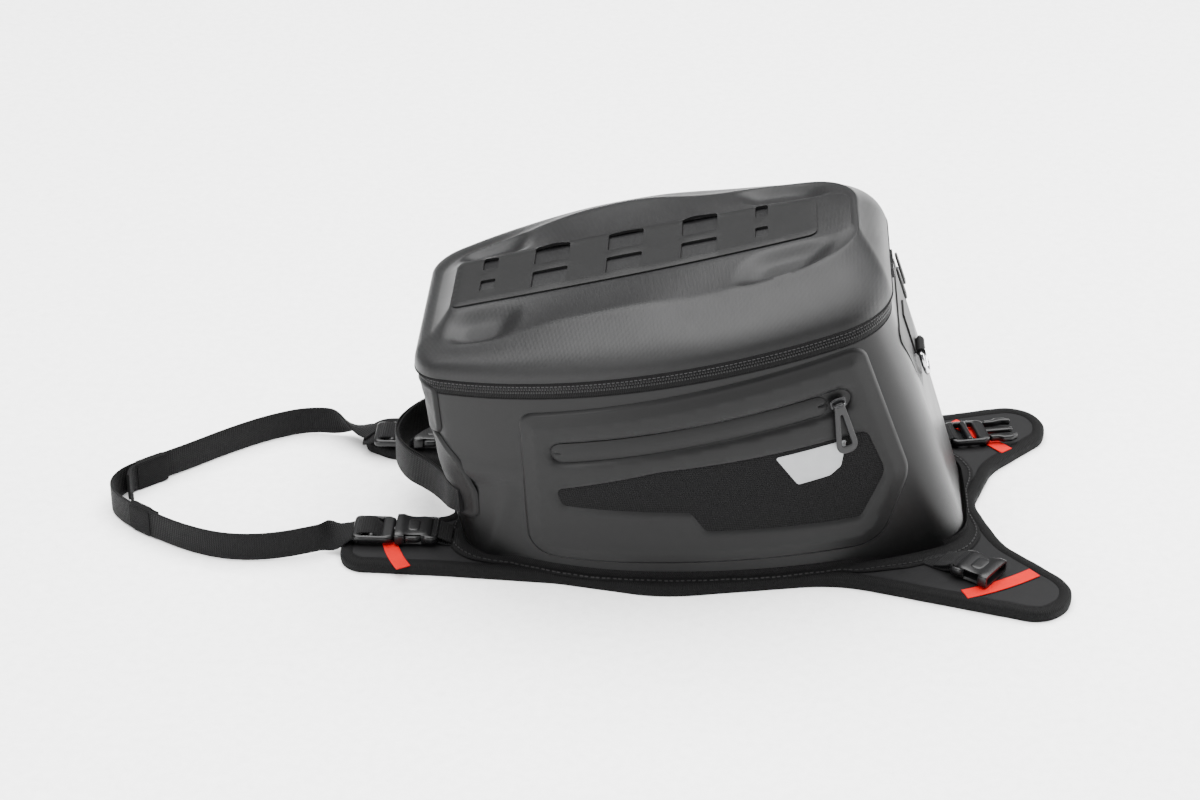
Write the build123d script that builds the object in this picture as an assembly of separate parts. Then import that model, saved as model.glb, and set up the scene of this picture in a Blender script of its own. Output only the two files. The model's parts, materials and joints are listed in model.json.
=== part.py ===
from build123d import *
import os
from math import atan2, cos, degrees, radians, sin, sqrt, tan

# Strap-mounted motorcycle luggage bag on a four-eared harness pad.
# Frame: millimetres, origin on the floor at the centre of the pad. -X is the end with the lid hinge,
# the carry handle and the strap loop, +X the end where the main zip opens, -Y the bag's left side.

# ------------------------------------------------------------------ driving dimensions
WEBBING = 25.0                      # width of every strap
UNDERLAY_T = 2.0                    # anti-slip sheet under the pad
PAD_T = 7.0                         # foam pad above it
PAD_TOP = UNDERLAY_T + PAD_T
BINDING_W = 4.0                     # folded tape round the pad's edge
PAD_END = 284.0                     # half of the pad's length

# Pad outline, one half: (x, |y|, corner radius), from the front notch to the rear notch
PAD_CORNERS = [
    (-199, 38, 12), (-264, 60, 18), (-PAD_END, 72, 10), (-PAD_END, 112, 20), (-200, 115, 120),
    (-112, 121, 160), (-31, 137, 130), (105, 112, 120), (262, 159, 28), (PAD_END, 138, 30),
    (PAD_END, 112, 31), (236, 60, 60),
]
REAR_NOTCH = (216, 0, 40)

FRONT_FOLD_X = -203.5               # where the two front ears bend away from the pad
REAR_FOLD_REACH = 201.0             # distance of each rear ear's fold line from the origin
FOLD_GAP = 4.5

WALL = 4.0                          # foam-laminated wall of body and lid
FLOOR_T = 3.0
LINING_T = 1.0
FLANGE_W = 5.0                      # sewn rim at the foot of the body
FLANGE_H = 3.0

LID_EDGE_FRONT = (-223.0, 0.0, 163.0)   # front end of the lid's lower edge
LID_TILT = 10.5                     # degrees, the rear end is the higher one
LID_LENGTH = 368.0                  # along the slope
ZIP_BAND = 12.5                     # height of the zip band under the lid
ZIP_SPLIT = 0.3                     # gap between the two zip tapes
BODY_STEP = 3.0                     # the body's rim stands back from the lid's edge
CREST_TILT = 15.1                   # plane of the lid's upper edge, degrees
SPINE_TILT = 13.6                   # plane of the raised middle panel, degrees
SPINE_FRONT = (-202.0, 0.0, 194.0)  # front end of that plane
SPINE_PANEL_T = 2.5

# Outlines: x of both ends, half width at both ends, apex x, apex half width, corner radii
BODY_FOOT = dict(x0=-189, x1=209, h0=85, h1=60, ax=-45, ah=126, r0=36, r1=40)
LID_EDGE = dict(x0=0, x1=LID_LENGTH, h0=88, h1=95, ax=184, ah=138.5, r0=38, r1=60)
LID_CREST = dict(x0=14, x1=350, h0=70, h1=60, ax=152, ah=92, r0=34, r1=50)
SPINE = dict(x0=3, x1=318, h0=39, h1=31, ax=150, ah=40.5, r0=8, r1=14)
PLATE = dict(x0=5, x1=292, h0=37.5, h1=30.5, ax=130, ah=39, r0=6, r1=8)

# Laser-cut slots in the plate: distance along it, slot length, and (middle, width) of the two rows
END_ROWS, WIDE_ROWS = ((23, 17), (-12, 17)), ((20, 26), (-18.5, 26))
SLOT_COLUMNS = [(32, 12, END_ROWS), (82, 28, WIDE_ROWS), (141, 28, WIDE_ROWS), (200, 28, WIDE_ROWS),
                (249, 10, END_ROWS)]

# Side pocket, in the XZ plane of each side wall: (x, z, corner radius)
PANEL_CORNERS = [(-140, 152, 12), (-134, 24, 22), (138, 29, 28), (158, 92, 30), (116, 210, 14)]
INSERT_CORNERS = [(-113, 91, 6), (-33, 114, 60), (122, 137, 8), (139, 97, 18), (121, 57, 8),
                  (2, 57, 6), (-10, 75, 6), (-107, 75, 6)]
REFLECTOR_CORNERS = [(53, 122, 1), (106, 131, 1), (103, 108, 5), (95, 101, 3), (71, 96, 3)]
PANEL_T = 1.5
TRIM_T = 0.7
POCKET_ZIP_START = (-115, 121.5)
POCKET_ZIP_END = (108, 167.5)
POCKET_ZIP_W = 17.0
POCKET_SLIDER_XZ = (98, 165.0)      # rest place of each pocket slider
MAIN_SLIDER_V = 12.0                # rest place of each main slider off the middle of the rear wall
MAIN_PIVOT, POCKET_PIVOT = 5.5, 6.0     # puller pivots stand this far off their walls
SLIDER_LIFT = 0.9                   # a pocket slider stands this far above its zip

# Side-release buckle: local +X runs from the sewn tab to the adjustable end, origin at the mouth
SOCKET_L, FRAME_L, BUCKLE_W, BUCKLE_H = 34.0, 33.0, 33.0, 11.0
BUCKLE_Z = PAD_TOP + 1.7            # underside of the rear socket
REAR_PLUG_Z = PAD_TOP + 0.1
TAB_T = 1.4
EAR_TAB_REACH = 16.0
ARM_PIVOT = (0.7, 11.3)             # root of a release arm in the buckle's plane
FRONT_MOUTH = (-242.0, 73.5)        # |y| of the front buckles' mouths
REAR_SOCKET_MOUTH, REAR_SOCKET_TURN = (227.0, -115.5), -33.9
REAR_PLUG_MOUTH, REAR_PLUG_TURN = (235.0, 105.0), 192.0

HANDLE_W, HANDLE_T = 28.0, 3.5
HANDLE_Z = 42.0                     # lower edge of the carry handle
HANDLE_ROOT = (-201.0, 60.0)        # x and |y| of its sewn ends
HANDLE_BENDS = [(-224.0, 46.0), (-247.0, 17.0)]
HANDLE_RADII = [34, 30, 30, 34]
RING_Z, RING_WIRE, RING_W, RING_H = 150.0, 2.0, 28.0, 22.0
RING_TAB_T = 1.6                    # webbing round the ring's bar

# Free strap loop: points of its route on the floor, on edge
STRAP_T = 2.2
STRAP_ROUTE = [
    (-276.2, -76), (-303, -88), (-338, -99), (-374, -101), (-408, -89), (-439, -70), (-465, -51),
    (-480, -30), (-475, -7), (-455, 11), (-427, 34), (-399, 60), (-368, 84), (-335, 100),
    (-302, 93), (-276.2, 76),
]

NEAR, FAR = -1, 1
BIG = 2000.0


def save(node, *solids):
    """Write one node; several solids become a group."""
    pieces = [piece for item in solids for piece in item.solids()]
    shape = pieces[0] if len(pieces) == 1 else Compound(children=pieces)
    export_step(shape, f"parts/{node}.step")


# ------------------------------------------------------------------ outlines and planes
LID_PLANE = Plane(LID_EDGE_FRONT, x_dir=(cos(radians(LID_TILT)), 0, sin(radians(LID_TILT))),
                  z_dir=(-sin(radians(LID_TILT)), 0, cos(radians(LID_TILT))))


def tilted(origin, tilt):
    turn = radians(tilt)
    return Plane(origin, x_dir=(cos(turn), 0, sin(turn)), z_dir=(-sin(turn), 0, cos(turn)))


CREST_PLANE = tilted((LID_PLANE.location * Location((0, 0, 13.9))).position, CREST_TILT)
SPINE_PLANE = tilted(SPINE_FRONT, SPINE_TILT)


def outline(x0, x1, h0, h1, ax, ah, r0, r1, inset=0.0):
    """Closed face in XY: straight ends, sides of two arcs that meet at the widest point."""
    def arc_radius(run, drop):
        return (run * run + drop * drop) / (2 * drop)

    front_r = arc_radius(ax - x0, ah - h0)
    rear_r = arc_radius(x1 - ax, ah - h1)
    start, end, top = x0 + inset, x1 - inset, ah - inset

    def half(x):
        radius = front_r if x < ax else rear_r
        return ah - radius + sqrt((radius - inset) ** 2 - (x - ax) ** 2)

    def side(sign):
        front = ThreePointArc((start, sign * half(start)), ((start + ax) / 2, sign * half((start + ax) / 2)),
                              (ax, sign * top))
        rear = ThreePointArc((ax, sign * top), ((end + ax) / 2, sign * half((end + ax) / 2)),
                             (end, sign * half(end)))
        return front, rear

    near, far = side(NEAR), side(FAR)
    ends = [Line((x, -half(x)), (x, half(x))) for x in (start, end)]
    face = make_face(Curve() + [*near, *far, *ends])
    front_corners = [v for v in face.vertices() if abs(v.X - start) < 0.01]
    face = fillet(front_corners, max(r0 - inset, 2))
    rear_corners = [v for v in face.vertices() if abs(v.X - end) < 0.01 and abs(v.Y) > half(end) - 1]
    return fillet(rear_corners, max(r1 - inset, 2)).face()


def body_form(inset):
    """Solid between the foot outline and the rim under the zip band, inset all round."""
    foot = Plane.XY.offset(PAD_TOP) * outline(**BODY_FOOT, inset=inset)
    rim = LID_PLANE.offset(-ZIP_BAND) * outline(**LID_EDGE, inset=BODY_STEP + inset)
    return loft([foot, rim], ruled=True)


def lid_form(inset):
    """Solid of the lid: flared wall, sloping facet and raised spine, inset all round."""
    sections = [
        LID_PLANE * outline(**LID_EDGE, inset=inset),
        LID_PLANE.offset(8) * outline(**LID_EDGE, inset=inset + 2.5),
        CREST_PLANE.offset(-inset) * outline(**LID_CREST, inset=inset),
        SPINE_PLANE.offset(-inset) * outline(**SPINE, inset=inset),
    ]
    return loft(sections, ruled=True)


def lid_point(u, v, w):
    """World position of a point given along, across and above the lid's edge plane."""
    return (LID_PLANE.location * Location((u, v, w))).position


def corner_face(corners):
    """Face from (x, y, radius) corners."""
    points = [(x, y) for x, y, _ in corners]
    return make_face(FilletPolyline(*points, radius=[r for *_, r in corners], close=True))


def wall_plate(corners, low, high, sign):
    """Plate that follows a side wall, between two heights above it, cut to an XZ outline."""
    prism = extrude(Plane.XZ * corner_face(corners), amount=BIG, both=True)
    half_space = Pos(0, sign * BIG / 2, 0) * Box(BIG, BIG, BIG)
    return (GROWN[high] - GROWN[low]) & prism & half_space


# ------------------------------------------------------------------ pad and its ears
def pad_face(inset=0.0):
    near = [(x, -y, r) for x, y, r in PAD_CORNERS]
    far = [(x, y, r) for x, y, r in reversed(PAD_CORNERS)]
    face = corner_face([*near, REAR_NOTCH, *far])
    return offset(face, -inset, kind=Kind.INTERSECTION) if inset else face


def beyond(angle, reach):
    """Half space farther than reach from the origin in a level direction."""
    return Rot(0, 0, angle) * Pos(reach + BIG / 2, 0, 0) * Box(BIG, BIG, BIG)


def fold_zone(angle, reach):
    return beyond(angle, reach + FOLD_GAP / 2)


REAR_ANGLE = {NEAR: -45.0, FAR: 45.0}
SIDE_NAME = {NEAR: "left", FAR: "right"}


def make_pad():
    whole = pad_face()
    inner = pad_face(BINDING_W)
    layers = {
        "underlay": extrude(inner, UNDERLAY_T),
        "pad": Pos(0, 0, UNDERLAY_T) * extrude(inner, PAD_T),
        "binding": extrude(whole, PAD_TOP) - extrude(inner, PAD_TOP),
    }
    centre_cut = [beyond(180, -FRONT_FOLD_X - FOLD_GAP / 2)]
    centre_cut += [beyond(REAR_ANGLE[s], REAR_FOLD_REACH - FOLD_GAP / 2) for s in (NEAR, FAR)]
    for layer, solid in layers.items():
        centre = solid
        for cut in centre_cut:
            centre = centre - cut
        save(f"centre_{layer}", centre)
        save(f"front_{layer}", solid & fold_zone(180, -FRONT_FOLD_X))
        for s in (NEAR, FAR):
            save(f"rear_{SIDE_NAME[s]}_{layer}", solid & fold_zone(REAR_ANGLE[s], REAR_FOLD_REACH))
    return layers["pad"]


def ribbon(start, end, width, thickness, z):
    """Flat strip on a level surface between two points."""
    run = Vector(*end) - Vector(*start)
    middle = (Vector(*start) + Vector(*end)) / 2
    box = Box(run.length, width, thickness, align=(Align.CENTER, Align.CENTER, Align.MIN))
    return Pos(middle.X, middle.Y, z) * Rot(0, 0, degrees(atan2(run.Y, run.X))) * box


def make_stripes(pad):
    """Red stripes across the ears, clipped to the pad between the bindings."""
    reach = Pos(0, 0, PAD_TOP) * extrude(pad_face(BINDING_W + 0.2), 1)
    front = []
    for s in (NEAR, FAR):
        strip = ribbon((-246, s * 84), (-232, s * 118), 13, TRIM_T, PAD_TOP)
        front.append((strip & reach) - beyond(-s * 90, -86.8))
        rear = ribbon((200, s * 141), (262, s * 92), 13, TRIM_T, PAD_TOP) & reach
        save(f"rear_{SIDE_NAME[s]}_stripe", rear & fold_zone(REAR_ANGLE[s], REAR_FOLD_REACH))
    save("front_stripes", *front)


# ------------------------------------------------------------------ buckles
def level_box(x0, x1, width, z0, z1):
    return Pos((x0 + x1) / 2, 0, (z0 + z1) / 2) * Box(x1 - x0, width, z1 - z0)


def socket():
    """Female half: open mouth at x = 0, side windows for the arms, webbing slot at the back."""
    shell = level_box(-SOCKET_L, 0, BUCKLE_W, 0, BUCKLE_H)
    shell = fillet(shell.edges().filter_by(Axis.Z).group_by(Axis.X)[0], 6)
    shell -= level_box(-26.5, 1, 28.6, 2, 9)
    shell -= level_box(-21, -7.5, BUCKLE_W + 2, 2, 9)
    return shell - level_box(-SOCKET_L + 2.5, -SOCKET_L + 6.0, 26, -1, BUCKLE_H + 1)


def plug():
    """Male half without its arms: ladder frame and centre guide."""
    frame = level_box(1.0, FRAME_L + 1, BUCKLE_W, 2, 8)
    frame = fillet(frame.edges().filter_by(Axis.Z).group_by(Axis.X)[-1], 5)
    frame -= level_box(11, 16, 26, 0, BUCKLE_H)
    frame -= level_box(21, 26.5, 26, 0, BUCKLE_H)
    return frame + level_box(-22, 1.0, 6, 3.5, 7.5)


def arm(sign):
    """One release arm, rooted just off the plug's frame, with the prong in the socket's window."""
    beam = Pos(0, sign * ARM_PIVOT[1], 0) * level_box(-23, ARM_PIVOT[0], 3.8, 2.6, 8.4)
    prong = Pos(0, sign * 14.4, 0) * level_box(-18.5, -9.5, 2.6, 2.6, 8.4)
    return beam + prong


def place(turn, mouth, z, shape):
    return Pos(mouth[0], mouth[1], z) * Rot(0, 0, turn) * shape


def make_buckles():
    tabs = []
    for s in (NEAR, FAR):
        name = SIDE_NAME[s]
        mouth = (FRONT_MOUTH[0], s * FRONT_MOUTH[1])
        z = PAD_TOP + TAB_T
        save(f"front_{name}_socket", place(180, mouth, z, socket()))
        save(f"front_{name}_plug", place(180, mouth, z, plug()))
        save(f"front_{name}_outer_arm", place(180, mouth, z, arm(-s)))
        save(f"front_{name}_inner_arm", place(180, mouth, z, arm(s)))
        tab_ends = (FRONT_FOLD_X - 3, mouth[1]), (FRONT_MOUTH[0] + 4, mouth[1])
        tabs.append(ribbon(*tab_ends, WEBBING, TAB_T, PAD_TOP))
    save("front_tabs", *tabs)
    save("rear_left_socket", place(REAR_SOCKET_TURN, REAR_SOCKET_MOUTH, BUCKLE_Z, socket()))
    save("rear_right_plug", place(REAR_PLUG_TURN, REAR_PLUG_MOUTH, REAR_PLUG_Z, plug()))
    for name, sign in (("outer", NEAR), ("inner", FAR)):
        save(f"rear_right_{name}_arm", place(REAR_PLUG_TURN, REAR_PLUG_MOUTH, REAR_PLUG_Z, arm(sign)))
    save("rear_left_tab", ear_tab(NEAR, REAR_SOCKET_TURN, REAR_SOCKET_MOUTH, -SOCKET_L))
    save("rear_right_tab", ear_tab(FAR, REAR_PLUG_TURN, REAR_PLUG_MOUTH, FRAME_L))


def ear_tab(side, turn, mouth, back):
    """Webbing sewn flat on a rear ear, half of it under the back end of its buckle half."""
    webbing = level_box(back - EAR_TAB_REACH, back + EAR_TAB_REACH, WEBBING, 0, TAB_T)
    return place(turn, mouth, PAD_TOP, webbing) & fold_zone(REAR_ANGLE[side], REAR_FOLD_REACH)


# ------------------------------------------------------------------ body
def ring(low, high, inner, outer):
    """Ring of zip tape under the lid, between two heights and two insets from its edge."""
    face = outline(**LID_EDGE, inset=outer) - outline(**LID_EDGE, inset=inner)
    return extrude(LID_PLANE.offset(low) * face, amount=high - low)


def above(z):
    return Pos(0, 0, z + BIG / 2) * Box(BIG, BIG, BIG)


def make_body():
    outer, inner, lined = GROWN[0], body_form(WALL), body_form(WALL + LINING_T)
    floor = PAD_TOP + FLOOR_T
    board_t = 2.0
    save("body_shell", outer - (inner & above(floor)))
    board = extrude(outline(**BODY_FOOT, inset=WALL + 2), amount=board_t)
    save("base_board", Pos(0, 0, floor) * board)
    lining = (inner & above(floor + board_t)) - (lined & above(floor + board_t + LINING_T))
    save("body_lining", lining)
    flange = extrude(outline(**BODY_FOOT, inset=-FLANGE_W), amount=FLANGE_H)
    save("body_flange", Pos(0, 0, PAD_TOP) * flange - outer)
    save("lower_zip_tape", ring(-ZIP_BAND, -ZIP_BAND / 2 - ZIP_SPLIT / 2, 4.5, 1.5))
    strip = Box(1.7, 100, 15, align=(Align.MIN, Align.CENTER, Align.MAX))
    save("lid_hinge_strip", LID_PLANE.location * Pos(-0.4, 0, -ZIP_BAND / 2 - 0.4) * strip)
    front = extrude(Plane.YZ * corner_face([(44, 24, 6), (80, 24, 6), (74, 104, 10), (52, 92, 8)]),
                    amount=-BIG)
    skin = GROWN[PANEL_T] - GROWN[0]
    save("front_patches", skin & front, skin & mirror(front, about=Plane.XZ))
    rear = extrude(Plane.YZ * corner_face([(-70, 199, 8), (70, 199, 8), (12, 104, 10), (-12, 104, 10)]),
                   amount=BIG)
    save("rear_patch", skin & rear)


def make_pockets():
    panels, inserts, reflectors, zips = [], [], [], []
    (x0, z0), (x1, z1) = POCKET_ZIP_START, POCKET_ZIP_END
    slope = degrees(atan2(z1 - z0, x1 - x0))
    length = sqrt((x1 - x0) ** 2 + (z1 - z0) ** 2)
    for s in (NEAR, FAR):
        panels.append(wall_plate(PANEL_CORNERS, 0, PANEL_T, s))
        inserts.append(wall_plate(INSERT_CORNERS, PANEL_T, PANEL_T + TRIM_T, s))
        reflectors.append(wall_plate(REFLECTOR_CORNERS, PANEL_T + TRIM_T, PANEL_T + 2 * TRIM_T, s))
        strip = Pos((x0 + x1) / 2, 0, (z0 + z1) / 2) * Rot(0, -slope, 0) * Box(length, BIG, POCKET_ZIP_W)
        half_space = Pos(0, s * BIG / 2, 0) * Box(BIG, BIG, BIG)
        zips.append((GROWN[PANEL_T + TRIM_T] - GROWN[PANEL_T]) & strip & half_space)
    save("side_panels", *panels)
    save("pocket_inserts", *inserts)
    save("reflectors", *reflectors)
    save("pocket_zip_tapes", *zips)


# ------------------------------------------------------------------ lid
def make_lid():
    outer, inner, lined = lid_form(0), lid_form(WALL), lid_form(WALL + LINING_T)
    save("lid_shell", outer - inner)
    save("lid_lining", inner - lined)
    save("upper_zip_tape", ring(-ZIP_BAND / 2 + ZIP_SPLIT / 2, 0, 4.0, 1.5))
    panel = extrude(SPINE_PLANE * outline(**PLATE), amount=SPINE_PANEL_T)
    for u, slot_length, rows in SLOT_COLUMNS:
        for v, slot_width in rows:
            cutter = Pos(u, v, 0) * Box(slot_length, slot_width, 4 * SPINE_PANEL_T)
            panel -= SPINE_PLANE.location * cutter
    save("lid_top_panel", panel)


# ------------------------------------------------------------------ zip sliders and pullers
def slider(length, width, thickness):
    """Slider body, standing just above the tape."""
    body = Box(length, width, thickness, align=(Align.CENTER, Align.CENTER, Align.MIN))
    return Pos(0, 0, SLIDER_LIFT) * fillet(body.edges().filter_by(Axis.Z), 1.5)


def puller(length, width, thickness):
    """Loop-shaped puller that hangs along -Y from a pivot on the X axis."""
    plate = Pos(0, 2 - length / 2, 0) * Box(width, length, thickness)
    plate = fillet(plate.edges().filter_by(Axis.Z), 2.5)
    return plate - Pos(0, 2 - length / 2 - 2, 0) * Box(width - 4.4, length - 14, 2 * thickness)


def rear_wall_plane(u, v, w):
    """Frame on the rear wall: X across the bag, Y up the wall, Z outwards."""
    foot = Vector(BODY_FOOT["x1"], 0, PAD_TOP)
    rim = lid_point(LID_LENGTH - BODY_STEP, 0, -ZIP_BAND)
    up = (rim - foot).normalized()
    return Plane(lid_point(u, v, w), x_dir=(0, 1, 0), z_dir=Vector(0, 1, 0).cross(up))


def side_wall_plane(x, z, height, sign):
    """Frame on a side wall: X along the pocket zip, Y up the wall, Z outwards."""
    hits = GROWN[height].find_intersection_points(Axis((x, 0, z), (0, sign, 0)))
    point, normal = [hit for hit in hits if hit[0].Y * sign > 0][0]
    if normal.Y * sign < 0:
        normal = -normal
    (x0, z0), (x1, z1) = POCKET_ZIP_START, POCKET_ZIP_END
    along = Vector(x1 - x0, 0, z1 - z0).normalized() * -sign
    across = normal.cross(along).normalized()
    return Plane(point, x_dir=across.cross(normal), z_dir=normal)


def make_sliders():
    for s in (NEAR, FAR):
        name = SIDE_NAME[s]
        seat = rear_wall_plane(LID_LENGTH - 1.0, s * MAIN_SLIDER_V, -ZIP_BAND / 2)
        body = LID_PLANE.location * Pos(LID_LENGTH + 0.6, s * MAIN_SLIDER_V, -ZIP_BAND / 2) * Box(3, 9, 8.4)
        save(f"main_slider_{name}", body)
        save(f"main_puller_{name}", seat.location * Pos(0, 0, MAIN_PIVOT) * puller(28, 8, 2))
        seat = side_wall_plane(*POCKET_SLIDER_XZ, PANEL_T + TRIM_T, s)
        save(f"pocket_slider_{name}", seat.location * slider(12, 9, 2.6))
        save(f"pocket_puller_{name}", seat.location * Pos(0, 0, POCKET_PIVOT) * puller(46, 10, 2))


# ------------------------------------------------------------------ handle, ring and strap
def upright_ribbon(points, radii, thickness, low, high):
    """Webbing on edge that follows a level route."""
    route = FilletPolyline(*[(x, y, 0) for x, y in points], radius=radii)
    start = route @ 0
    face = Plane(start, x_dir=(0, 0, 1), z_dir=route % 0) * Pos((low + high) / 2, 0) * Rectangle(
        high - low, thickness)
    return sweep(face, path=route)


def make_handle():
    root_x, root_y = HANDLE_ROOT
    near_half = [(root_x, -root_y), *[(x, -y) for x, y in HANDLE_BENDS]]
    points = near_half + [(x, -y) for x, y in reversed(near_half)]
    loop = upright_ribbon(points, HANDLE_RADII, HANDLE_T, HANDLE_Z, HANDLE_Z + HANDLE_W)
    middle = HANDLE_Z + HANDLE_W / 2
    taper = Polyline((root_x - 5, middle - 4), (root_x - 17, HANDLE_Z - 1), (-270, HANDLE_Z - 1),
                     (-270, HANDLE_Z + HANDLE_W + 1), (root_x - 17, HANDLE_Z + HANDLE_W + 1),
                     (root_x - 5, middle + 4), close=True)
    keep = extrude(Plane.XZ * make_face(taper), amount=BIG, both=True)
    save("carry_handle", loop & keep)


def make_ring():
    """D-ring in a webbing tab on the rear wall."""
    foot_x, foot_z = BODY_FOOT["x1"], PAD_TOP
    rim = lid_point(LID_LENGTH - BODY_STEP, 0, -ZIP_BAND)
    share = (RING_Z - foot_z) / (rim.Z - foot_z)
    wall_x = foot_x + share * (rim.X - foot_x)
    up = Vector(rim.X - foot_x, 0, rim.Z - foot_z).normalized()
    seat = Plane((wall_x, 0, RING_Z), x_dir=(0, 1, 0), z_dir=Vector(0, 1, 0).cross(up))
    lift = PANEL_T + 0.8 + RING_WIRE + RING_TAB_T
    half = RING_W / 2
    tab_low, tab_high = RING_Z + 2, RING_Z + 36
    strip = (GROWN[PANEL_T + 1.5] - GROWN[PANEL_T]) & Pos(BIG / 2, 0, (tab_low + tab_high) / 2) * Box(
        BIG, WEBBING, tab_high - tab_low)
    wrap = Cylinder(RING_WIRE + RING_TAB_T, 20) - Cylinder(RING_WIRE + 0.3, 30)
    sleeve = Pos(0, 0, lift) * Rot(0, 90, 0) * wrap
    save("rear_tab", strip, seat.location * sleeve)
    bar = Rot(0, 90, 0) * Cylinder(RING_WIRE, RING_W)
    bow = ThreePointArc((half, 0), (0, -RING_H), (-half, 0))
    bow_wire = sweep(Plane(bow @ 0, z_dir=bow % 0) * Circle(RING_WIRE), path=bow)
    balls = [Pos(side * half, 0, 0) * Sphere(RING_WIRE) for side in (NEAR, FAR)]
    save("d_ring", seat.location * Pos(0, 0, lift) * (bar + bow_wire + balls[0] + balls[1]))
    print("ring pivot", (seat.location * Location((0, 0, lift))).position)


def cord_radii(points):
    """0.45 of the shorter run over the tangent of half the turn, at each corner of a route."""
    radii = []
    for before, here, after in zip(points, points[1:], points[2:]):
        into, out = Vector(*here) - Vector(*before), Vector(*after) - Vector(*here)
        turn = radians(into.get_angle(out))
        radii.append(0.45 * min(into.length, out.length) / tan(turn / 2))
    return radii


def make_strap():
    radii = cord_radii(STRAP_ROUTE)
    strap = upright_ribbon(STRAP_ROUTE, radii, STRAP_T, 0, WEBBING)
    print("strap radii", [round(r) for r in radii], "length", round(strap.volume / STRAP_T / WEBBING))
    over_ears = Pos(-PAD_END + 50 - 0.3, 0, 0) * Box(100, BIG, 2 * (PAD_TOP + 0.3))
    save("front_strap", strap - over_ears)


os.makedirs("parts", exist_ok=True)
GROWN = {h: body_form(-h) for h in (0, PANEL_T, PANEL_T + TRIM_T, PANEL_T + 2 * TRIM_T, PANEL_T + 1.5)}
make_stripes(make_pad())
make_body()
make_pockets()
make_lid()
make_sliders()
make_buckles()
make_handle()
make_ring()
make_strap()
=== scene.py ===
import json
import math

import bpy
import numpy as np
from mathutils import Matrix, Vector
from mathutils.geometry import delaunay_2d_cdt


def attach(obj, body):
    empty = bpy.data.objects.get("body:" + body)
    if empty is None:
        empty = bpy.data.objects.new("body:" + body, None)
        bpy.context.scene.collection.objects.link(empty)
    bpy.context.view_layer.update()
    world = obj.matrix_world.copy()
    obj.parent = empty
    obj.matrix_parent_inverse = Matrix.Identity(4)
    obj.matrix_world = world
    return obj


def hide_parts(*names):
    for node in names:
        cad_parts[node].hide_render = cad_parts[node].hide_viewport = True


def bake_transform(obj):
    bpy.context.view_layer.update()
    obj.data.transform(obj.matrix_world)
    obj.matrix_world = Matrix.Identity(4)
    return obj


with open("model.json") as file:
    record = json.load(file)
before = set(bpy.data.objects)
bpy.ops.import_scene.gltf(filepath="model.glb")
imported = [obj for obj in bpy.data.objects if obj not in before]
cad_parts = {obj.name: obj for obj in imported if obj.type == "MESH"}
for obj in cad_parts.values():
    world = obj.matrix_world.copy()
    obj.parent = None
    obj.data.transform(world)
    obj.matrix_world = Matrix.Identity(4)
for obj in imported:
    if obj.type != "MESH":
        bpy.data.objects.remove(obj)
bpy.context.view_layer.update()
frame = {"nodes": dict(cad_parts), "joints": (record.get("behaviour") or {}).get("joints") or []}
JOINTS = {joint["name"]: joint for joint in frame["joints"]}
MM = 0.001

# ------------------------------------------------------------------ driving dimensions, mm
PAD_TOP = 9.0
PAD_END = 284.0
PAD_CORNERS = [
    (-199, 38, 12), (-264, 60, 18), (-PAD_END, 72, 10), (-PAD_END, 112, 20), (-200, 115, 120),
    (-112, 121, 160), (-31, 137, 130), (105, 112, 120), (262, 159, 28), (PAD_END, 138, 30),
    (PAD_END, 112, 31), (236, 60, 60),
]
REAR_NOTCH = (216, 0, 40)
LID_EDGE_FRONT = np.array([-223.0, 0.0, 163.0])
LID_TILT, CREST_TILT, SPINE_TILT = 10.5, 15.1, 13.6
ZIP_BAND = 12.5
LID_WALL, BODY_WALL = 3.6, 3.5
LINING_OUTSIDE, LINING_INSIDE = 3.8, 5.0        # depths of the lining's two faces under the outer skin
BODY_STEP = 3.0
SPINE_FRONT = np.array([-202.0, 0.0, 194.0])
SIDES = ((-1, "left"), (1, "right"))
BODY_FOOT = dict(x0=-189, x1=209, h0=85, h1=60, ax=-45, ah=126, r0=36, r1=40)
LID_EDGE = dict(x0=0, x1=368, h0=88, h1=95, ax=184, ah=138.5, r0=38, r1=60)
LID_CREST = dict(x0=14, x1=350, h0=70, h1=60, ax=152, ah=92, r0=34, r1=50)
SPINE = dict(x0=3, x1=318, h0=39, h1=31, ax=150, ah=40.5, r0=8, r1=14)
PLATE = dict(x0=5, x1=292, h0=37.5, h1=30.5, ax=130, ah=39, r0=6, r1=8)


# ------------------------------------------------------------------ materials
def shader(name, colour, roughness, metallic=0.0, sheen=0.0, specular=0.25):
    """New material with a Principled BSDF; returns it with its nodes, links and shader."""
    material = bpy.data.materials.new(name)
    material.use_nodes = True
    nodes, links = material.node_tree.nodes, material.node_tree.links
    bsdf = nodes["Principled BSDF"]
    bsdf.inputs["Base Color"].default_value = (*colour, 1)
    bsdf.inputs["Roughness"].default_value = roughness
    bsdf.inputs["Metallic"].default_value = metallic
    bsdf.inputs["Sheen Weight"].default_value = sheen
    bsdf.inputs["Sheen Roughness"].default_value = 0.4
    bsdf.inputs["Specular IOR Level"].default_value = specular
    return material, nodes, links, bsdf


def math_node(nodes, links, operation, a, b=None):
    node = nodes.new("ShaderNodeMath")
    node.operation = operation
    for socket, value in zip(node.inputs, (a, b)):
        if isinstance(value, (int, float)):
            socket.default_value = value
        elif value is not None:
            links.new(value, socket)
    return node.outputs[0]


def surface_coords(nodes, attribute):
    """Vector in metres: the named mesh attribute, or the object's own coordinates."""
    if attribute:
        node = nodes.new("ShaderNodeAttribute")
        node.attribute_name = attribute
        return node.outputs["Vector"]
    return nodes.new("ShaderNodeTexCoord").outputs["Object"]


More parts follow.
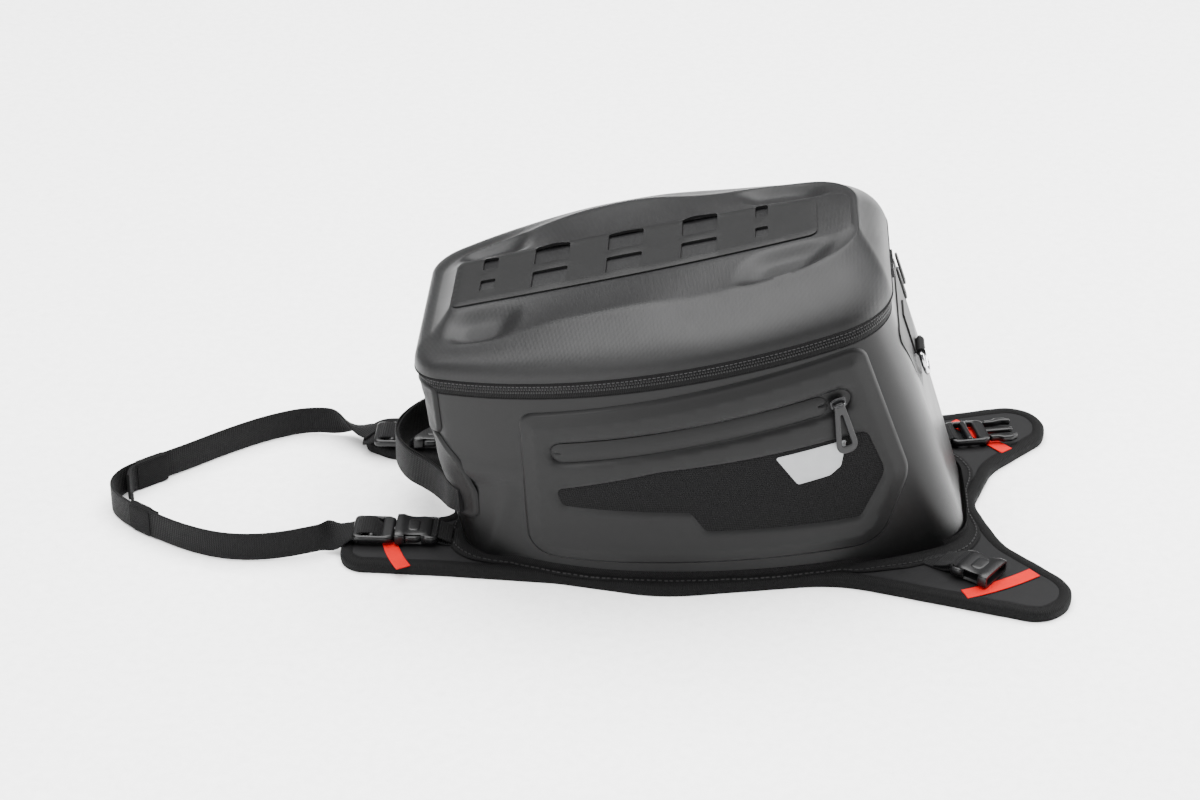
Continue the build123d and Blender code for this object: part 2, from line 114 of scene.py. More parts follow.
def noise(nodes, links, coords, scale, detail=3.0):
    node = nodes.new("ShaderNodeTexNoise")
    node.inputs["Scale"].default_value = scale
    node.inputs["Detail"].default_value = detail
    node.inputs["Roughness"].default_value = 0.55
    links.new(coords, node.inputs["Vector"])
    return node.outputs["Fac"]


def mapped(nodes, links, value, low, high, from_low=0.0, from_high=1.0):
    node = nodes.new("ShaderNodeMapRange")
    links.new(value, node.inputs["Value"])
    for socket, number in zip(("From Min", "From Max", "To Min", "To Max"), (from_low, from_high, low, high)):
        node.inputs[socket].default_value = number
    return node.outputs["Result"]


def add_bump(nodes, links, bsdf, layers):
    """Chain of bump nodes from (height, strength, distance) layers."""
    normal = None
    for height, strength, distance in layers:
        node = nodes.new("ShaderNodeBump")
        node.inputs["Strength"].default_value = strength
        node.inputs["Distance"].default_value = distance
        links.new(height, node.inputs["Height"])
        if normal is not None:
            links.new(normal, node.inputs["Normal"])
        normal = node.outputs["Normal"]
    links.new(normal, bsdf.inputs["Normal"])


def vary(nodes, links, bsdf, coords, colour, roughness, amount, scale):
    """Soft change of colour and roughness over the surface."""
    cloud = noise(nodes, links, coords, scale)
    ramp = nodes.new("ShaderNodeMix")
    ramp.data_type = "RGBA"
    links.new(cloud, ramp.inputs[0])
    for socket, gain in ((ramp.inputs[6], 1 - amount), (ramp.inputs[7], 1 + amount)):
        socket.default_value = (*[c * gain for c in colour], 1)
    links.new(ramp.outputs[2], bsdf.inputs["Base Color"])
    links.new(mapped(nodes, links, cloud, roughness - 0.06, roughness + 0.06), bsdf.inputs["Roughness"])
    return ramp


def wave_height(nodes, links, coords, pitch, turn=0.0):
    """Ridges of a pitch in metres, across a direction in the surface's own plane."""
    x, y = math.cos(turn), math.sin(turn)
    dot = nodes.new("ShaderNodeVectorMath")
    dot.operation = "DOT_PRODUCT"
    dot.inputs[1].default_value = (x, y, 0)
    links.new(coords, dot.inputs[0])
    phase = math_node(nodes, links, "MULTIPLY", dot.outputs["Value"], 2 * math.pi / pitch)
    return math_node(nodes, links, "SINE", phase)


def coated(name, colour, roughness, pitch=0.0011, emboss=0.35, specular=0.3):
    """Coated laminate with a fine diamond emboss."""
    material, nodes, links, bsdf = shader(name, colour, roughness, specular=specular)
    coords = surface_coords(nodes, "weave")
    vary(nodes, links, bsdf, coords, colour, roughness, 0.1, 40)
    a = wave_height(nodes, links, coords, pitch, math.radians(38))
    b = wave_height(nodes, links, coords, pitch * 1.25, math.radians(-52))
    diamonds = math_node(nodes, links, "MULTIPLY", a, b)
    grain = noise(nodes, links, coords, 2500, 2)
    add_bump(nodes, links, bsdf, [(diamonds, emboss, 0.00012), (grain, 0.2, 0.00008)])
    return material


def paint_light_on_threads(nodes, links, bsdf, ramp, painted_light_and_shade):
    """Multiply the varied colour by painted light and shade: a painted highlight on the threads' crowns,
    painted shade in the gaps between them.
    """
    painted_light_mix = nodes.new("ShaderNodeMix")
    painted_light_mix.data_type = "RGBA"
    painted_light_mix.blend_type = "MULTIPLY"
    painted_light_mix.inputs[0].default_value = 1.0
    links.new(ramp.outputs[2], painted_light_mix.inputs[6])
    links.new(painted_light_and_shade, painted_light_mix.inputs[7])
    links.new(painted_light_mix.outputs[2], bsdf.inputs["Base Color"])


def woven(name, colour, roughness, pitch, depth, attribute="weave", sheen=0.03, twill=0.0):
    """Plain weave or twill: crossed threads, with a painted highlight on their crowns and painted shade in
    their gaps.
    """
    material, nodes, links, bsdf = shader(name, colour, roughness, sheen=sheen, specular=0.1)
    coords = surface_coords(nodes, attribute)
    along = wave_height(nodes, links, coords, pitch, math.radians(twill))
    across = wave_height(nodes, links, coords, pitch * 1.3, math.radians(twill + 90))
    weave = math_node(nodes, links, "MULTIPLY", along, across)
    fuzz = noise(nodes, links, coords, 1800, 3)
    ramp = vary(nodes, links, bsdf, coords, colour, roughness, 0.25, 90)
    # painted light and shade: the colour is lighter on the threads' crowns and darker in the gaps between
    # them
    painted_light_and_shade = mapped(nodes, links, weave, 0.6, 1.35, -1.0, 1.0)
    paint_light_on_threads(nodes, links, bsdf, ramp, painted_light_and_shade)
    add_bump(nodes, links, bsdf, [(weave, 0.8, depth), (fuzz, 0.3, depth * 0.5)])
    return material


def webbing_material(name, colour, rib=0.0016, depth=0.00025):
    """Ribbed webbing: ribs across the strap, finer threads along it, with a painted highlight on the raised
    ribs and painted shade between them.
    """
    material, nodes, links, bsdf = shader(name, colour, 0.72, sheen=0.03, specular=0.1)
    coords = surface_coords(nodes, "weave")
    ribs = wave_height(nodes, links, coords, rib, 0.0)
    threads = wave_height(nodes, links, coords, rib * 0.9, math.radians(90))
    pattern = math_node(nodes, links, "MULTIPLY", ribs, threads)
    fuzz = noise(nodes, links, coords, 1500, 3)
    ramp = vary(nodes, links, bsdf, coords, colour, 0.72, 0.2, 70)
    # painted light and shade: the colour is lighter on the raised ribs and threads and darker in the gaps
    # between them
    painted_light_and_shade = mapped(nodes, links, pattern, 0.55, 1.4, -1.0, 1.0)
    paint_light_on_threads(nodes, links, bsdf, ramp, painted_light_and_shade)
    add_bump(nodes, links, bsdf, [(ribs, 0.6, depth), (pattern, 0.7, depth), (fuzz, 0.3, depth * 0.4)])
    return material


def moulded(name, colour, roughness, metallic=0.0, grain=900, strength=0.12):
    """Moulded plastic or coated metal: fine texture, slight wear of the gloss."""
    material, nodes, links, bsdf = shader(name, colour, roughness, metallic)
    coords = surface_coords(nodes, None)
    vary(nodes, links, bsdf, coords, colour, roughness, 0.12, 120)
    add_bump(nodes, links, bsdf, [(noise(nodes, links, coords, grain, 2), strength, 0.00005)])
    return material


MAT = {
    "lid": coated("lid_laminate", (0.0058, 0.0058, 0.006), 0.42, pitch=0.0013, emboss=0.6, specular=0.2),
    "body": coated("body_laminate", (0.003, 0.003, 0.0031), 0.36, pitch=0.0009, emboss=0.12, specular=0.16),
    "panel": coated("panel_laminate", (0.0032, 0.0032, 0.0033), 0.46, pitch=0.0008, emboss=0.1,
                    specular=0.16),
    "plate": coated("laser_cut_sheet", (0.0045, 0.0045, 0.0046), 0.5, pitch=0.0012, emboss=0.25,
                    specular=0.15),
    "pad": woven("pad_fabric", (0.0075, 0.0075, 0.0078), 0.68, 0.0011, 0.00008, sheen=0.0, twill=45),
    "insert": woven("pocket_weave", (0.003, 0.003, 0.0031), 0.75, 0.0022, 0.0003, sheen=0.0, twill=52),
    "binding": woven("binding_tape", (0.0035, 0.0035, 0.0036), 0.8, 0.0018, 0.0003, sheen=0.0),
    "tape": webbing_material("zip_tape", (0.0028, 0.0028, 0.0029), rib=0.0014),
    "webbing": webbing_material("black_webbing", (0.0035, 0.0035, 0.0037), rib=0.0019),
    "red": webbing_material("red_ribbon", (0.42, 0.0012, 0.0008), rib=0.0012, depth=0.00012),
    "patch": coated("patch_fabric", (0.004, 0.004, 0.0041), 0.5, pitch=0.001, emboss=0.3, specular=0.16),
    "piping": coated("piping", (0.004, 0.004, 0.004), 0.5, specular=0.15),
    "thread": moulded("stitching", (0.03, 0.03, 0.031), 0.6, grain=3000, strength=0.4),
    "dark_thread": moulded("dark_stitching", (0.009, 0.009, 0.0092), 0.6, grain=3000, strength=0.4),
    "rubber": woven("anti_slip", (0.006, 0.006, 0.006), 0.85, 0.004, 0.0006, sheen=0.0, twill=45),
    "reflector": moulded("reflective_film", (0.28, 0.285, 0.29), 0.4, metallic=0.2, grain=2500, strength=0.3),
    "plastic": moulded("buckle_plastic", (0.0035, 0.0035, 0.0037), 0.34),
    "coil": moulded("zip_coil", (0.004, 0.004, 0.0042), 0.45),
    "slider": moulded("slider_coating", (0.02, 0.02, 0.021), 0.25, metallic=0.5),
    "puller": moulded("puller_plastic", (0.010, 0.010, 0.0105), 0.45),
    "chrome": moulded("ring_plating", (0.55, 0.55, 0.56), 0.16, metallic=1.0, strength=0.05),
    "lining": woven("lining_fabric", (0.09, 0.092, 0.1), 0.7, 0.001, 0.0001, attribute=None),
    "board": moulded("stiffener_board", (0.04, 0.04, 0.042), 0.55),
}


# ------------------------------------------------------------------ mesh helpers
def mesh_object(name, points, faces, material, weave=None, sharp=40.0):
    """Mesh piece from points in mm; weave gives each point's cloth coordinates in mm."""
    mesh = bpy.data.meshes.new(name)
    mesh.from_pydata((np.asarray(points, float) * MM).tolist(), [], [list(f) for f in faces])
    if weave is not None:
        data = np.zeros((len(points), 3), np.float32)
        data[:, :2] = np.asarray(weave) * MM
        layer = mesh.attributes.new("weave", "FLOAT_VECTOR", "POINT")
        layer.data.foreach_set("vector", data.ravel())
    mesh.validate()
    mesh.polygons.foreach_set("use_smooth", [True] * len(mesh.polygons))
    mesh.set_sharp_from_angle(angle=math.radians(sharp))
    mesh.materials.append(material)
    piece = bpy.data.objects.new(name, mesh)
    bpy.context.scene.collection.objects.link(piece)
    return piece


def finish_piece(piece, body=None, replaces=(), slot=None):
    if body:
        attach(piece, body)
    if replaces:
        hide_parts(*replaces)
    return piece


def grid_faces(rows, columns, wrap=False):
    """Faces between closed rings of points; wrap also joins the last ring to the first."""
    faces = []
    for r in range(rows if wrap else rows - 1):
        here, there = r * columns, (r + 1) % rows * columns
        for c in range(columns):
            d = (c + 1) % columns
            faces.append([here + c, here + d, there + d, there + c])
    return faces


def sheet_faces(faces, count):
    """Faces of a closed sheet: the upper ones, the same on its under side, and its rims."""
    edges = {(f[i], f[(i + 1) % len(f)]): True for f in faces for i in range(len(f))}
    rim = [edge for edge in edges if edge[::-1] not in edges]
    under = [[i + count for i in f[::-1]] for f in faces]
    return faces + under + [[b, a, a + count, b + count] for a, b in rim]


def unit(vectors):
    """Each row of an array brought to length 1."""
    return vectors / np.linalg.norm(vectors, axis=1)[:, None]


def directions(line):
    """Unit tangent at each point of an open line."""
    return unit(np.gradient(line, axis=0))


def loop_outward(loop):
    """Unit outward direction at each point of a closed anticlockwise loop."""
    around = np.roll(loop, -1, axis=0) - np.roll(loop, 1, axis=0)
    return unit(np.column_stack([around[:, 1], -around[:, 0]]))


def ring(radius_x, radius_y, count):
    """Points (x, y) of a small ellipse."""
    turns = np.linspace(0, 2 * math.pi, count + 1)[:-1]
    return [(radius_x * math.cos(a), radius_y * math.sin(a)) for a in turns]


def strip_lengths(line):
    """Length along a line of points, from its first point."""
    return np.concatenate([[0], np.cumsum(np.linalg.norm(np.diff(line, axis=0), axis=1))])


def rounded(corners, step=3.0):
    """Closed line through (x, y, radius) corners, with arcs at the corners."""
    points, count = [], len(corners)
    xy = np.array([c[:2] for c in corners], float)
    for i, (x, y, radius) in enumerate(corners):
        here, before, after = xy[i], xy[i - 1], xy[(i + 1) % count]
        into, out = (here - before), (after - here)
        into, out = into / np.linalg.norm(into), out / np.linalg.norm(out)
        turn = math.atan2(into[0] * out[1] - into[1] * out[0], into @ out)
        cut = radius * math.tan(abs(turn) / 2)
        start = here - into * cut
        side = np.array([-into[1], into[0]]) * math.copysign(1, turn)
        centre = start + side * radius
        pieces = max(2, int(abs(turn) * radius / min(step, radius / 2 + 0.2)))
        for k in range(pieces + 1):
            a = turn * k / pieces
            spoke = start - centre
            rotated = np.array([spoke[0] * math.cos(a) - spoke[1] * math.sin(a),
                                spoke[0] * math.sin(a) + spoke[1] * math.cos(a)])
            points.append(centre + rotated)
    return resample(np.array(points), step)


def box_loop(x0, x1, half_width, radius=1.0, step=1.6):
    """Rounded box from x0 to x1, centred on y = 0."""
    return rounded([(x0, -half_width, radius), (x1, -half_width, radius), (x1, half_width, radius),
                    (x0, half_width, radius)], step)


def resample(line, step):
    """Closed line resampled at an even spacing, keeping its own vertices."""
    result = []
    for a, b in zip(line, np.roll(line, -1, axis=0)):
        length = np.linalg.norm(b - a)
        if length < 1e-6:
            continue
        for k in range(max(1, round(length / step))):
            result.append(a + (b - a) * k / max(1, round(length / step)))
    return np.array(result)


def inward(loop, distance):
    """Closed anticlockwise loop moved to its inside."""
    return loop - loop_outward(loop) * distance


def anticlockwise(loop):
    x, y = loop[:, 0], loop[:, 1]
    area = np.sum(x * np.roll(y, -1) - np.roll(x, -1) * y)
    return loop if area > 0 else loop[::-1]


def distance_to(points, loop):
    """Signed distance of each point to a closed loop, positive inside."""
    a, b = loop, np.roll(loop, -1, axis=0)
    edge = b - a
    length2 = np.maximum((edge ** 2).sum(1), 1e-9)
    best = np.full(len(points), 1e9)
    inside = np.zeros(len(points), bool)
    for p0, d, l2, p1 in zip(a, edge, length2, b):
        t = np.clip(((points - p0) @ d) / l2, 0, 1)
        best = np.minimum(best, np.linalg.norm(points - (p0 + t[:, None] * d), axis=1))
        crosses = (p0[1] > points[:, 1]) != (p1[1] > points[:, 1])
        slope = (p1[0] - p0[0]) / (p1[1] - p0[1] if abs(p1[1] - p0[1]) > 1e-9 else 1e-9)
        inside ^= crosses & (points[:, 0] < p0[0] + (points[:, 1] - p0[1]) * slope)
    return np.where(inside, best, -best)


def smooth(t):
    t = np.clip(t, 0, 1)
    return t * t * (3 - 2 * t)


def flat_patch(loops, step, outer):
    """Triangles that fill the outer loop, with every loop's line kept: (points, faces)."""
    outer = anticlockwise(outer)
    lines = [outer, *loops]
    points, edges = [], []
    for line in lines:
        base = len(points)
        points += [Vector(p) for p in line]
        edges += [(base + i, base + (i + 1) % len(line)) for i in range(len(line))]
    low, high = outer.min(0), outer.max(0)
    xs, ys = np.meshgrid(np.arange(low[0], high[0], step), np.arange(low[1], high[1], step))
    grid = np.stack([xs.ravel() + (np.indices(xs.shape)[0].ravel() % 2) * step / 2, ys.ravel()], axis=1)
    keep = distance_to(grid, outer) > step * 0.45
    for line in loops:
        keep &= np.abs(distance_to(grid, line)) > step * 0.45
    points += [Vector(p) for p in grid[keep]]
    verts, _, faces, *_ = delaunay_2d_cdt(points, edges, [], 1, 1e-4)
    return np.array([tuple(v) for v in verts]), [list(f) for f in faces]


def outside_holes(flat, faces, holes):
    """The faces whose middles lie in none of the holes."""
    middles = np.array([flat[f].mean(0) for f in faces])
    gone = np.zeros(len(faces), bool)
    for hole in holes:
        gone |= distance_to(middles, hole) > 0
    return [f for f, inside in zip(faces, gone) if not inside]


def draped(name, outer, height, place, material, step, loops, base, flip):
    """Piece that lies on a surface, from base mm up to height(points) mm above it."""
    flat, faces = flat_patch(loops, step, outer)
    both = np.vstack([place(flat, height(flat)), place(flat, np.full(len(flat), base))])
    faces = sheet_faces(faces, len(flat))
    if flip:
        faces = [f[::-1] for f in faces]
    return mesh_object(name, both, faces, material, weave=np.vstack([flat, flat]))


def swept(name, sections, material, closed=False, weave=None):
    """Tube through a list of sections, each an (n, 3) loop of points; open tubes get end caps."""
    sections = np.asarray(sections)
    rows, columns = sections.shape[:2]
    faces = grid_faces(rows, columns, wrap=closed)
    if not closed:
        faces += [list(range(columns))[::-1], [(rows - 1) * columns + c for c in range(columns)]]
    return mesh_object(name, sections.reshape(-1, 3), faces, material, weave=weave)


def join(pieces, name):
    """One object out of several, under a new name."""
    bpy.ops.object.select_all(action="DESELECT")
    for piece in pieces:
        piece.select_set(True)
    bpy.context.view_layer.objects.active = pieces[0]
    bpy.ops.object.join()
    pieces[0].name = name
    pieces[0].data.name = name
    return pieces[0]


# ------------------------------------------------------------------ outlines and planes
STEPS = dict(end=14, corner=18, side=52)


def outline(spec, inset=0.0):
    """Points round a body or lid outline; the same index is the same place on each."""
    x0, x1, ax, ah = spec["x0"] + inset, spec["x1"] - inset, spec["ax"], spec["ah"] - inset

    def half(end, drop, radius, sign):
        run = abs(ax - (spec["x0"] if sign < 0 else spec["x1"]))
        big = (run * run + drop * drop) / (2 * drop) - inset
        r = max(radius - inset, 2)
        centre_y = ah - big
        fx = end - sign * r
        fy = centre_y + math.sqrt((big - r) ** 2 - (fx - ax) ** 2)
        touch = np.array([ax, centre_y]) + (np.array([fx - ax, fy - centre_y])) / (big - r) * big
        line = [np.array([end, fy * k / STEPS["end"]]) for k in range(STEPS["end"])]
        a0 = math.atan2(0, sign)
        a1 = math.atan2(touch[1] - fy, touch[0] - fx)
        line += [np.array([fx, fy]) + r * np.array([math.cos(a), math.sin(a)])
                 for a in np.linspace(a0, a1, STEPS["corner"], endpoint=False)]
        b0, b1 = math.atan2(touch[1] - centre_y, touch[0] - ax), math.pi / 2
        line += [np.array([ax, centre_y]) + big * np.array([math.cos(b), math.sin(b)])
                 for b in np.linspace(b0, b1, STEPS["side"], endpoint=False)]
        return line

    front = half(x0, spec["ah"] - spec["h0"], spec["r0"], -1)
    rear = half(x1, spec["ah"] - spec["h1"], spec["r1"], 1)
    far = np.array(front + [np.array([ax, ah])] + rear[:0:-1] + [rear[0]])
    near = far[1:-1] * [1, -1]
    return np.vstack([far[:1], near, far[-1:], far[-2:0:-1]])


COLUMNS = len(outline(LID_EDGE))


def on_plane(points, origin, tilt, lift=0.0):
    """Points (along, across) on a plane that rises to the rear, in world mm."""
    turn = math.radians(tilt)
    along = np.array([math.cos(turn), 0, math.sin(turn)])
    normal = np.array([-math.sin(turn), 0, math.cos(turn)])
    lift = np.asarray(lift, float).reshape(-1, 1) if np.ndim(lift) else lift
    return origin + points[:, :1] * along + points[:, 1:2] * [0, 1, 0] + normal * lift


def lid_plane(points, lift=0.0):
    return on_plane(points, LID_EDGE_FRONT, LID_TILT, lift)


def level(points, z):
    return np.column_stack([points, np.full(len(points), float(z))])


CREST_ORIGIN = lid_plane(np.zeros((1, 2)), 13.9)[0]


# ------------------------------------------------------------------ camera, lights and floor
def make_camera():
    azimuth, elevation = math.radians(2.85), math.radians(30)
    back = Vector((math.sin(azimuth) * math.cos(elevation), -math.cos(azimuth) * math.cos(elevation),
                   math.sin(elevation)))
    right = Vector((math.cos(azimuth), math.sin(azimuth), 0))
    up = back.cross(right)
    data = bpy.data.cameras.new("camera")
    data.lens, data.sensor_width = 86.1, 36
    data.clip_end = 50
    camera = bpy.data.objects.new("camera", data)
    bpy.context.scene.collection.objects.link(camera)
    turn = Matrix((right, up, back)).transposed().to_4x4()
    camera.matrix_world = Matrix.Translation((0.0139, -1.9770, 1.2388)) @ turn
    bpy.context.scene.camera = camera


def soft_light(name, place, target, size, power):
    data = bpy.data.lights.new(name, "AREA")
    data.shape, data.size, data.size_y, data.energy = "RECTANGLE", size[0], size[1], power
    light = bpy.data.objects.new(name, data)
    bpy.context.scene.collection.objects.link(light)
    light.location = place
    light.rotation_euler = (Vector(target) - Vector(place)).to_track_quat("-Z", "Y").to_euler()


def make_studio():
    world = bpy.context.scene.world or bpy.data.worlds.new("studio")
    bpy.context.scene.world = world
    world.use_nodes = True
    background = world.node_tree.nodes["Background"]
    background.inputs["Color"].default_value = (1, 1, 1, 1)
    background.inputs["Strength"].default_value = 0.3
    soft_light("key", (-1.3, -2.0, 0.7), (-0.15, 0, 0.12), (0.7, 0.5), 46)
    soft_light("top", (0.0, 0.4, 3.0), (0, 0.2, 0), (4.5, 4.5), 720)
    soft_light("side", (1.7, 0.5, 0.5), (0.1, 0, 0.12), (0.5, 1.2), 45)
    floor = mesh_object("floor", [(-4000, -4000, -0.3), (4000, -4000, -0.3), (4000, 4000, -0.3),
                                  (-4000, 4000, -0.3)], [[0, 1, 2, 3]],
                        moulded("floor_paper", (0.96, 0.96, 0.96), 0.9, grain=300, strength=0.02))


# ------------------------------------------------------------------ webbing
def ribbon_section(width, thickness):
    """Loop of (across, out) points of a flat strap with round edges."""
    r = thickness / 2
    end = width / 2 - r
    flat = np.linspace(-end, end, 7)[1:-1]
    turns = np.linspace(-0.5, 0.5, 5) * math.pi
    loop = [(-end - r * math.cos(a), r * math.sin(a)) for a in turns]
    loop += [(x, r) for x in flat]
    loop += [(end + r * math.cos(a), r * math.sin(a)) for a in turns[::-1]]
    loop += [(x, -r) for x in flat[::-1]]
    return np.array(loop)[::-1]


def ribbon(name, path, width, thickness, material, roll=0.0):
    """Flat strap along a path in mm; roll turns it from lying flat (0) to on edge (90)."""
    path = np.asarray(path, float)
    tangent = directions(path)
    level_side = unit(np.cross(tangent, [0, 0, 1.0]))
    rise = np.cross(level_side, tangent)
    turn = np.radians(np.broadcast_to(np.asarray(roll, float), len(path)))[:, None]
    across = np.cos(turn) * level_side + np.sin(turn) * rise
    out = np.cross(across, tangent)
    widths = np.broadcast_to(np.asarray(width, float), len(path))
    sections, weave = [], []
    along = strip_lengths(path)
    for i, centre in enumerate(path):
        loop = ribbon_section(widths[i], thickness)
        sections.append(centre + loop[:, :1] * across[i] + loop[:, 1:] * out[i])
        weave += [(along[i], a) for a in loop[:, 0]]
    return swept(name, sections, material, weave=weave)


def spline(points, count=160):
    """Smooth NURBS line through the neighbourhood of its control points, in metres."""
    curve = bpy.data.curves.new("line", "CURVE")
    curve.dimensions = "3D"
    curve.resolution_u = 12
    line = curve.splines.new("NURBS")
    line.points.add(len(points) - 1)
    for point, place in zip(line.points, points):
        point.co = (*place, 1)
    line.order_u = 3
    line.use_endpoint_u = True
    holder = bpy.data.objects.new("line", curve)
    bpy.context.scene.collection.objects.link(holder)
    mesh = bpy.data.meshes.new_from_object(holder.evaluated_get(bpy.context.evaluated_depsgraph_get()))
    result = np.array([v.co[:] for v in mesh.vertices])
    bpy.data.objects.remove(holder)
    bpy.data.meshes.remove(mesh)
    return evenly(result, count)


def evenly(line, count):
    """An open line resampled to a number of points at an even spacing."""
    along = strip_lengths(line)
    return np.stack([np.interp(np.linspace(0, along[-1], count), along, line[:, k])
                     for k in range(line.shape[1])], axis=1)


STRAP_W, STRAP_T = 25.0, 2.2
OUTSIDE = 1                         # the side of the strap line that faces away from the loop
STRAP_MID = 0.0127
STRAP_ROUTE = [
    (-0.2762, -0.0760, 0.0154), (-0.3030, -0.0880, 0.0148), (-0.3380, -0.0990, STRAP_MID),
    (-0.3740, -0.1010, STRAP_MID), (-0.4080, -0.0890, STRAP_MID), (-0.4390, -0.0700, STRAP_MID),
    (-0.4650, -0.0510, STRAP_MID), (-0.4800, -0.0300, STRAP_MID), (-0.4750, -0.0070, STRAP_MID),
    (-0.4550, 0.0110, STRAP_MID), (-0.4270, 0.0340, STRAP_MID), (-0.3990, 0.0600, STRAP_MID),
    (-0.3680, 0.0840, STRAP_MID), (-0.3350, 0.1000, STRAP_MID), (-0.3020, 0.0930, 0.0148),
    (-0.2762, 0.0760, 0.0154),
]
# Each folded tail: name, start and stop along the strap, its keeper's span of it, and which end flares.
STRAP_TAILS = [("near", 0.34, 0.425, (0.2, 0.65), 1), ("far", 0.505, 0.60, (0.4, 0.95), -1)]


def make_strap():
    """Webbing loop from one front buckle to the other: flat at the buckles, on edge between them."""
    line = spline(STRAP_ROUTE)
    mm = line / MM
    along = strip_lengths(mm)
    from_end = np.minimum(along, along[-1] - along)
    roll = 90 * smooth((from_end - 4) / np.where(along < along[-1] / 2, 24, 44))
    strap = ribbon("strap_loop", mm, STRAP_W - 0.6, STRAP_T, MAT["webbing"], roll=roll)
    finish_piece(strap, "front_ears", ["front_strap"], "black_webbing")
    side = np.cross(directions(mm), [0, 0, 1.0])
    for name, start, stop, grip, flare in STRAP_TAILS:
        low, high = int(start * len(mm)), int(stop * len(mm))
        share = np.linspace(0, 1, high - low)[:, None]
        free = share if flare > 0 else 1 - share
        lift = STRAP_T + 0.5 + 7.0 * smooth((free - 0.6) / 0.4) ** 1.5
        tail_line = evenly(mm[low:high] + OUTSIDE * side[low:high] * lift, 40)
        tail = ribbon(f"strap_tail_{name}", tail_line, STRAP_W - 1.4, STRAP_T, MAT["webbing"], roll=90)
        finish_piece(tail, "front_ears", slot="black_webbing")
        loop_section = ribbon_section(STRAP_W + 1.6, 2 * STRAP_T + 2.6)
        first, last = (low + int(g * (high - low)) for g in grip)
        rows, weave = [], []
        for at in range(first, last + 1):
            grow = 1 if first < at < last else 0.95
            centre = mm[at] + OUTSIDE * side[at] * (STRAP_T + 0.5) / 2
            section = loop_section * grow
            rows.append(centre + section[:, :1] * [0, 0, 1] + section[:, 1:] * side[at])
            weave += [(a, along[at]) for a in loop_section[:, 0]]
        keeper = swept(f"strap_keeper_{name}", rows, MAT["binding"], weave=weave)
        finish_piece(keeper, "front_ears", slot="black_webbing")
    length = float(strip_lengths(line)[-1])


# ------------------------------------------------------------------ lid
def crest_plane(points, lift=0.0):
    return on_plane(points, CREST_ORIGIN, CREST_TILT, lift)


def spine_plane(points, lift=0.0):
    return on_plane(points, SPINE_FRONT, SPINE_TILT, lift)


WALL_ROWS, FACET_ROWS = 14, 18
FIRST_FACET = 3 + WALL_ROWS
LID_BAND = 8.0


def shoulder_rise(x, y):
    """Extra height of the crest between the dimples, where the lid's shoulders swell."""
    return 9.0 * np.exp(-np.abs((x + 86) / 62) ** 3) * smooth((np.abs(y) - 40) / 30)


def lid_rows(skin=0.0):
    """Rings of the lid from its edge up to the spine; skin moves them inwards."""
    edge = lid_plane(outline(LID_EDGE, skin), 0)
    band = lid_plane(outline(LID_EDGE, 1.4 + skin), LID_BAND)
    crest = crest_plane(outline(LID_CREST, skin), -skin)
    crest[:, 2] += shoulder_rise(crest[:, 0], crest[:, 1])
    spine = spine_plane(outline(SPINE, skin), -skin)
    outward = band - band.mean(0)
    outward[:, 2] = 0
    outward /= np.maximum(np.linalg.norm(outward, axis=1), 1)[:, None]
    rows = [edge, edge * 0.5 + band * 0.5 + outward * 0.5, band]
    side = smooth((np.abs(outward[:, 1]) - 0.25) / 0.5)[:, None]
    for t in np.linspace(0, 1, WALL_ROWS + 1)[1:]:
        bulge = (1.6 + 3.0 * side) * 6.75 * t * (1 - t) ** 2
        rows.append(band + (crest - band) * t + (outward * 0.7 + np.array([0, 0, 0.75])) * bulge)
    for t in np.linspace(0, 1, FACET_ROWS + 1)[1:]:
        sag = 0.7 * math.sin(math.pi * t)
        rows.append(crest + (spine - crest) * t - np.array([0, 0, 1]) * sag)
    soften(rows, FIRST_FACET - 1)
    for k in range(FACET_ROWS):
        row = rows[FIRST_FACET + k]
        share = np.full(len(row), (k + 1) / FACET_ROWS)
        row[:, 2] -= dimple_depth(row[:, 0], share) * smooth((np.abs(row[:, 1]) - 30) / 12)
    return rows


def soften(rows, ridge):
    """Round the ridge between two runs of rings a little."""
    reach, share = 2, 0.3
    for _ in range(2):
        kept = [row.copy() for row in rows]
        for k in range(ridge - reach, ridge + reach + 1):
            rows[k] = kept[k] * (1 - share) + (kept[k - 1] + kept[k + 1]) * share / 2


# Each dimple: middle and half sizes along the lid, and its middle and half height between crest and spine.
DIMPLES = [dict(x=-171, dx=24, lean=4, f=0.45, df=0.44, depth=7.0, far=0.5, near=0.5),
           dict(x=57, dx=29, lean=12, f=0.46, df=0.44, depth=7.0, far=0.5, near=0.5)]


def dimple_depth(x, f):
    """Depth of the pressed basins at the lid's corners; each leans along the spine's edge."""
    depth = np.zeros_like(x)
    for d in DIMPLES:
        a = (x - d["x"] - d["lean"] * (f - 0.5)) / d["dx"]
        b = np.abs(f - d["f"]) / d["df"]
        a = np.where(a > 0, a * (1 - 0.2 * d["far"]), -a * (1 - 0.2 * d["near"]))
        reach = (a ** 3.2 + b ** 3.2) ** (1 / 3.2)
        depth += d["depth"] * smooth((1.2 - reach) / 0.75)
    return depth


def lid_shell(name, rows, inner, material):
    """Closed shell between two lid skins, joined at the edge."""
    rings = rows + inner[::-1]
    top, under = (len(rows) - 1) * COLUMNS, len(rows) * COLUMNS
    faces = [f for f in grid_faces(len(rings), COLUMNS, wrap=True) if not top <= f[0] < under]
    faces += cap_faces([top + c for c in range(COLUMNS)], False)
    faces += cap_faces([under + c for c in range(COLUMNS)], True)
    weave = np.vstack([np.column_stack([r[:, 0], r[:, 2] + r[:, 1] * 0.6]) for r in rings])
    return mesh_object(name, np.vstack(rings), faces, material, weave=weave, sharp=60)


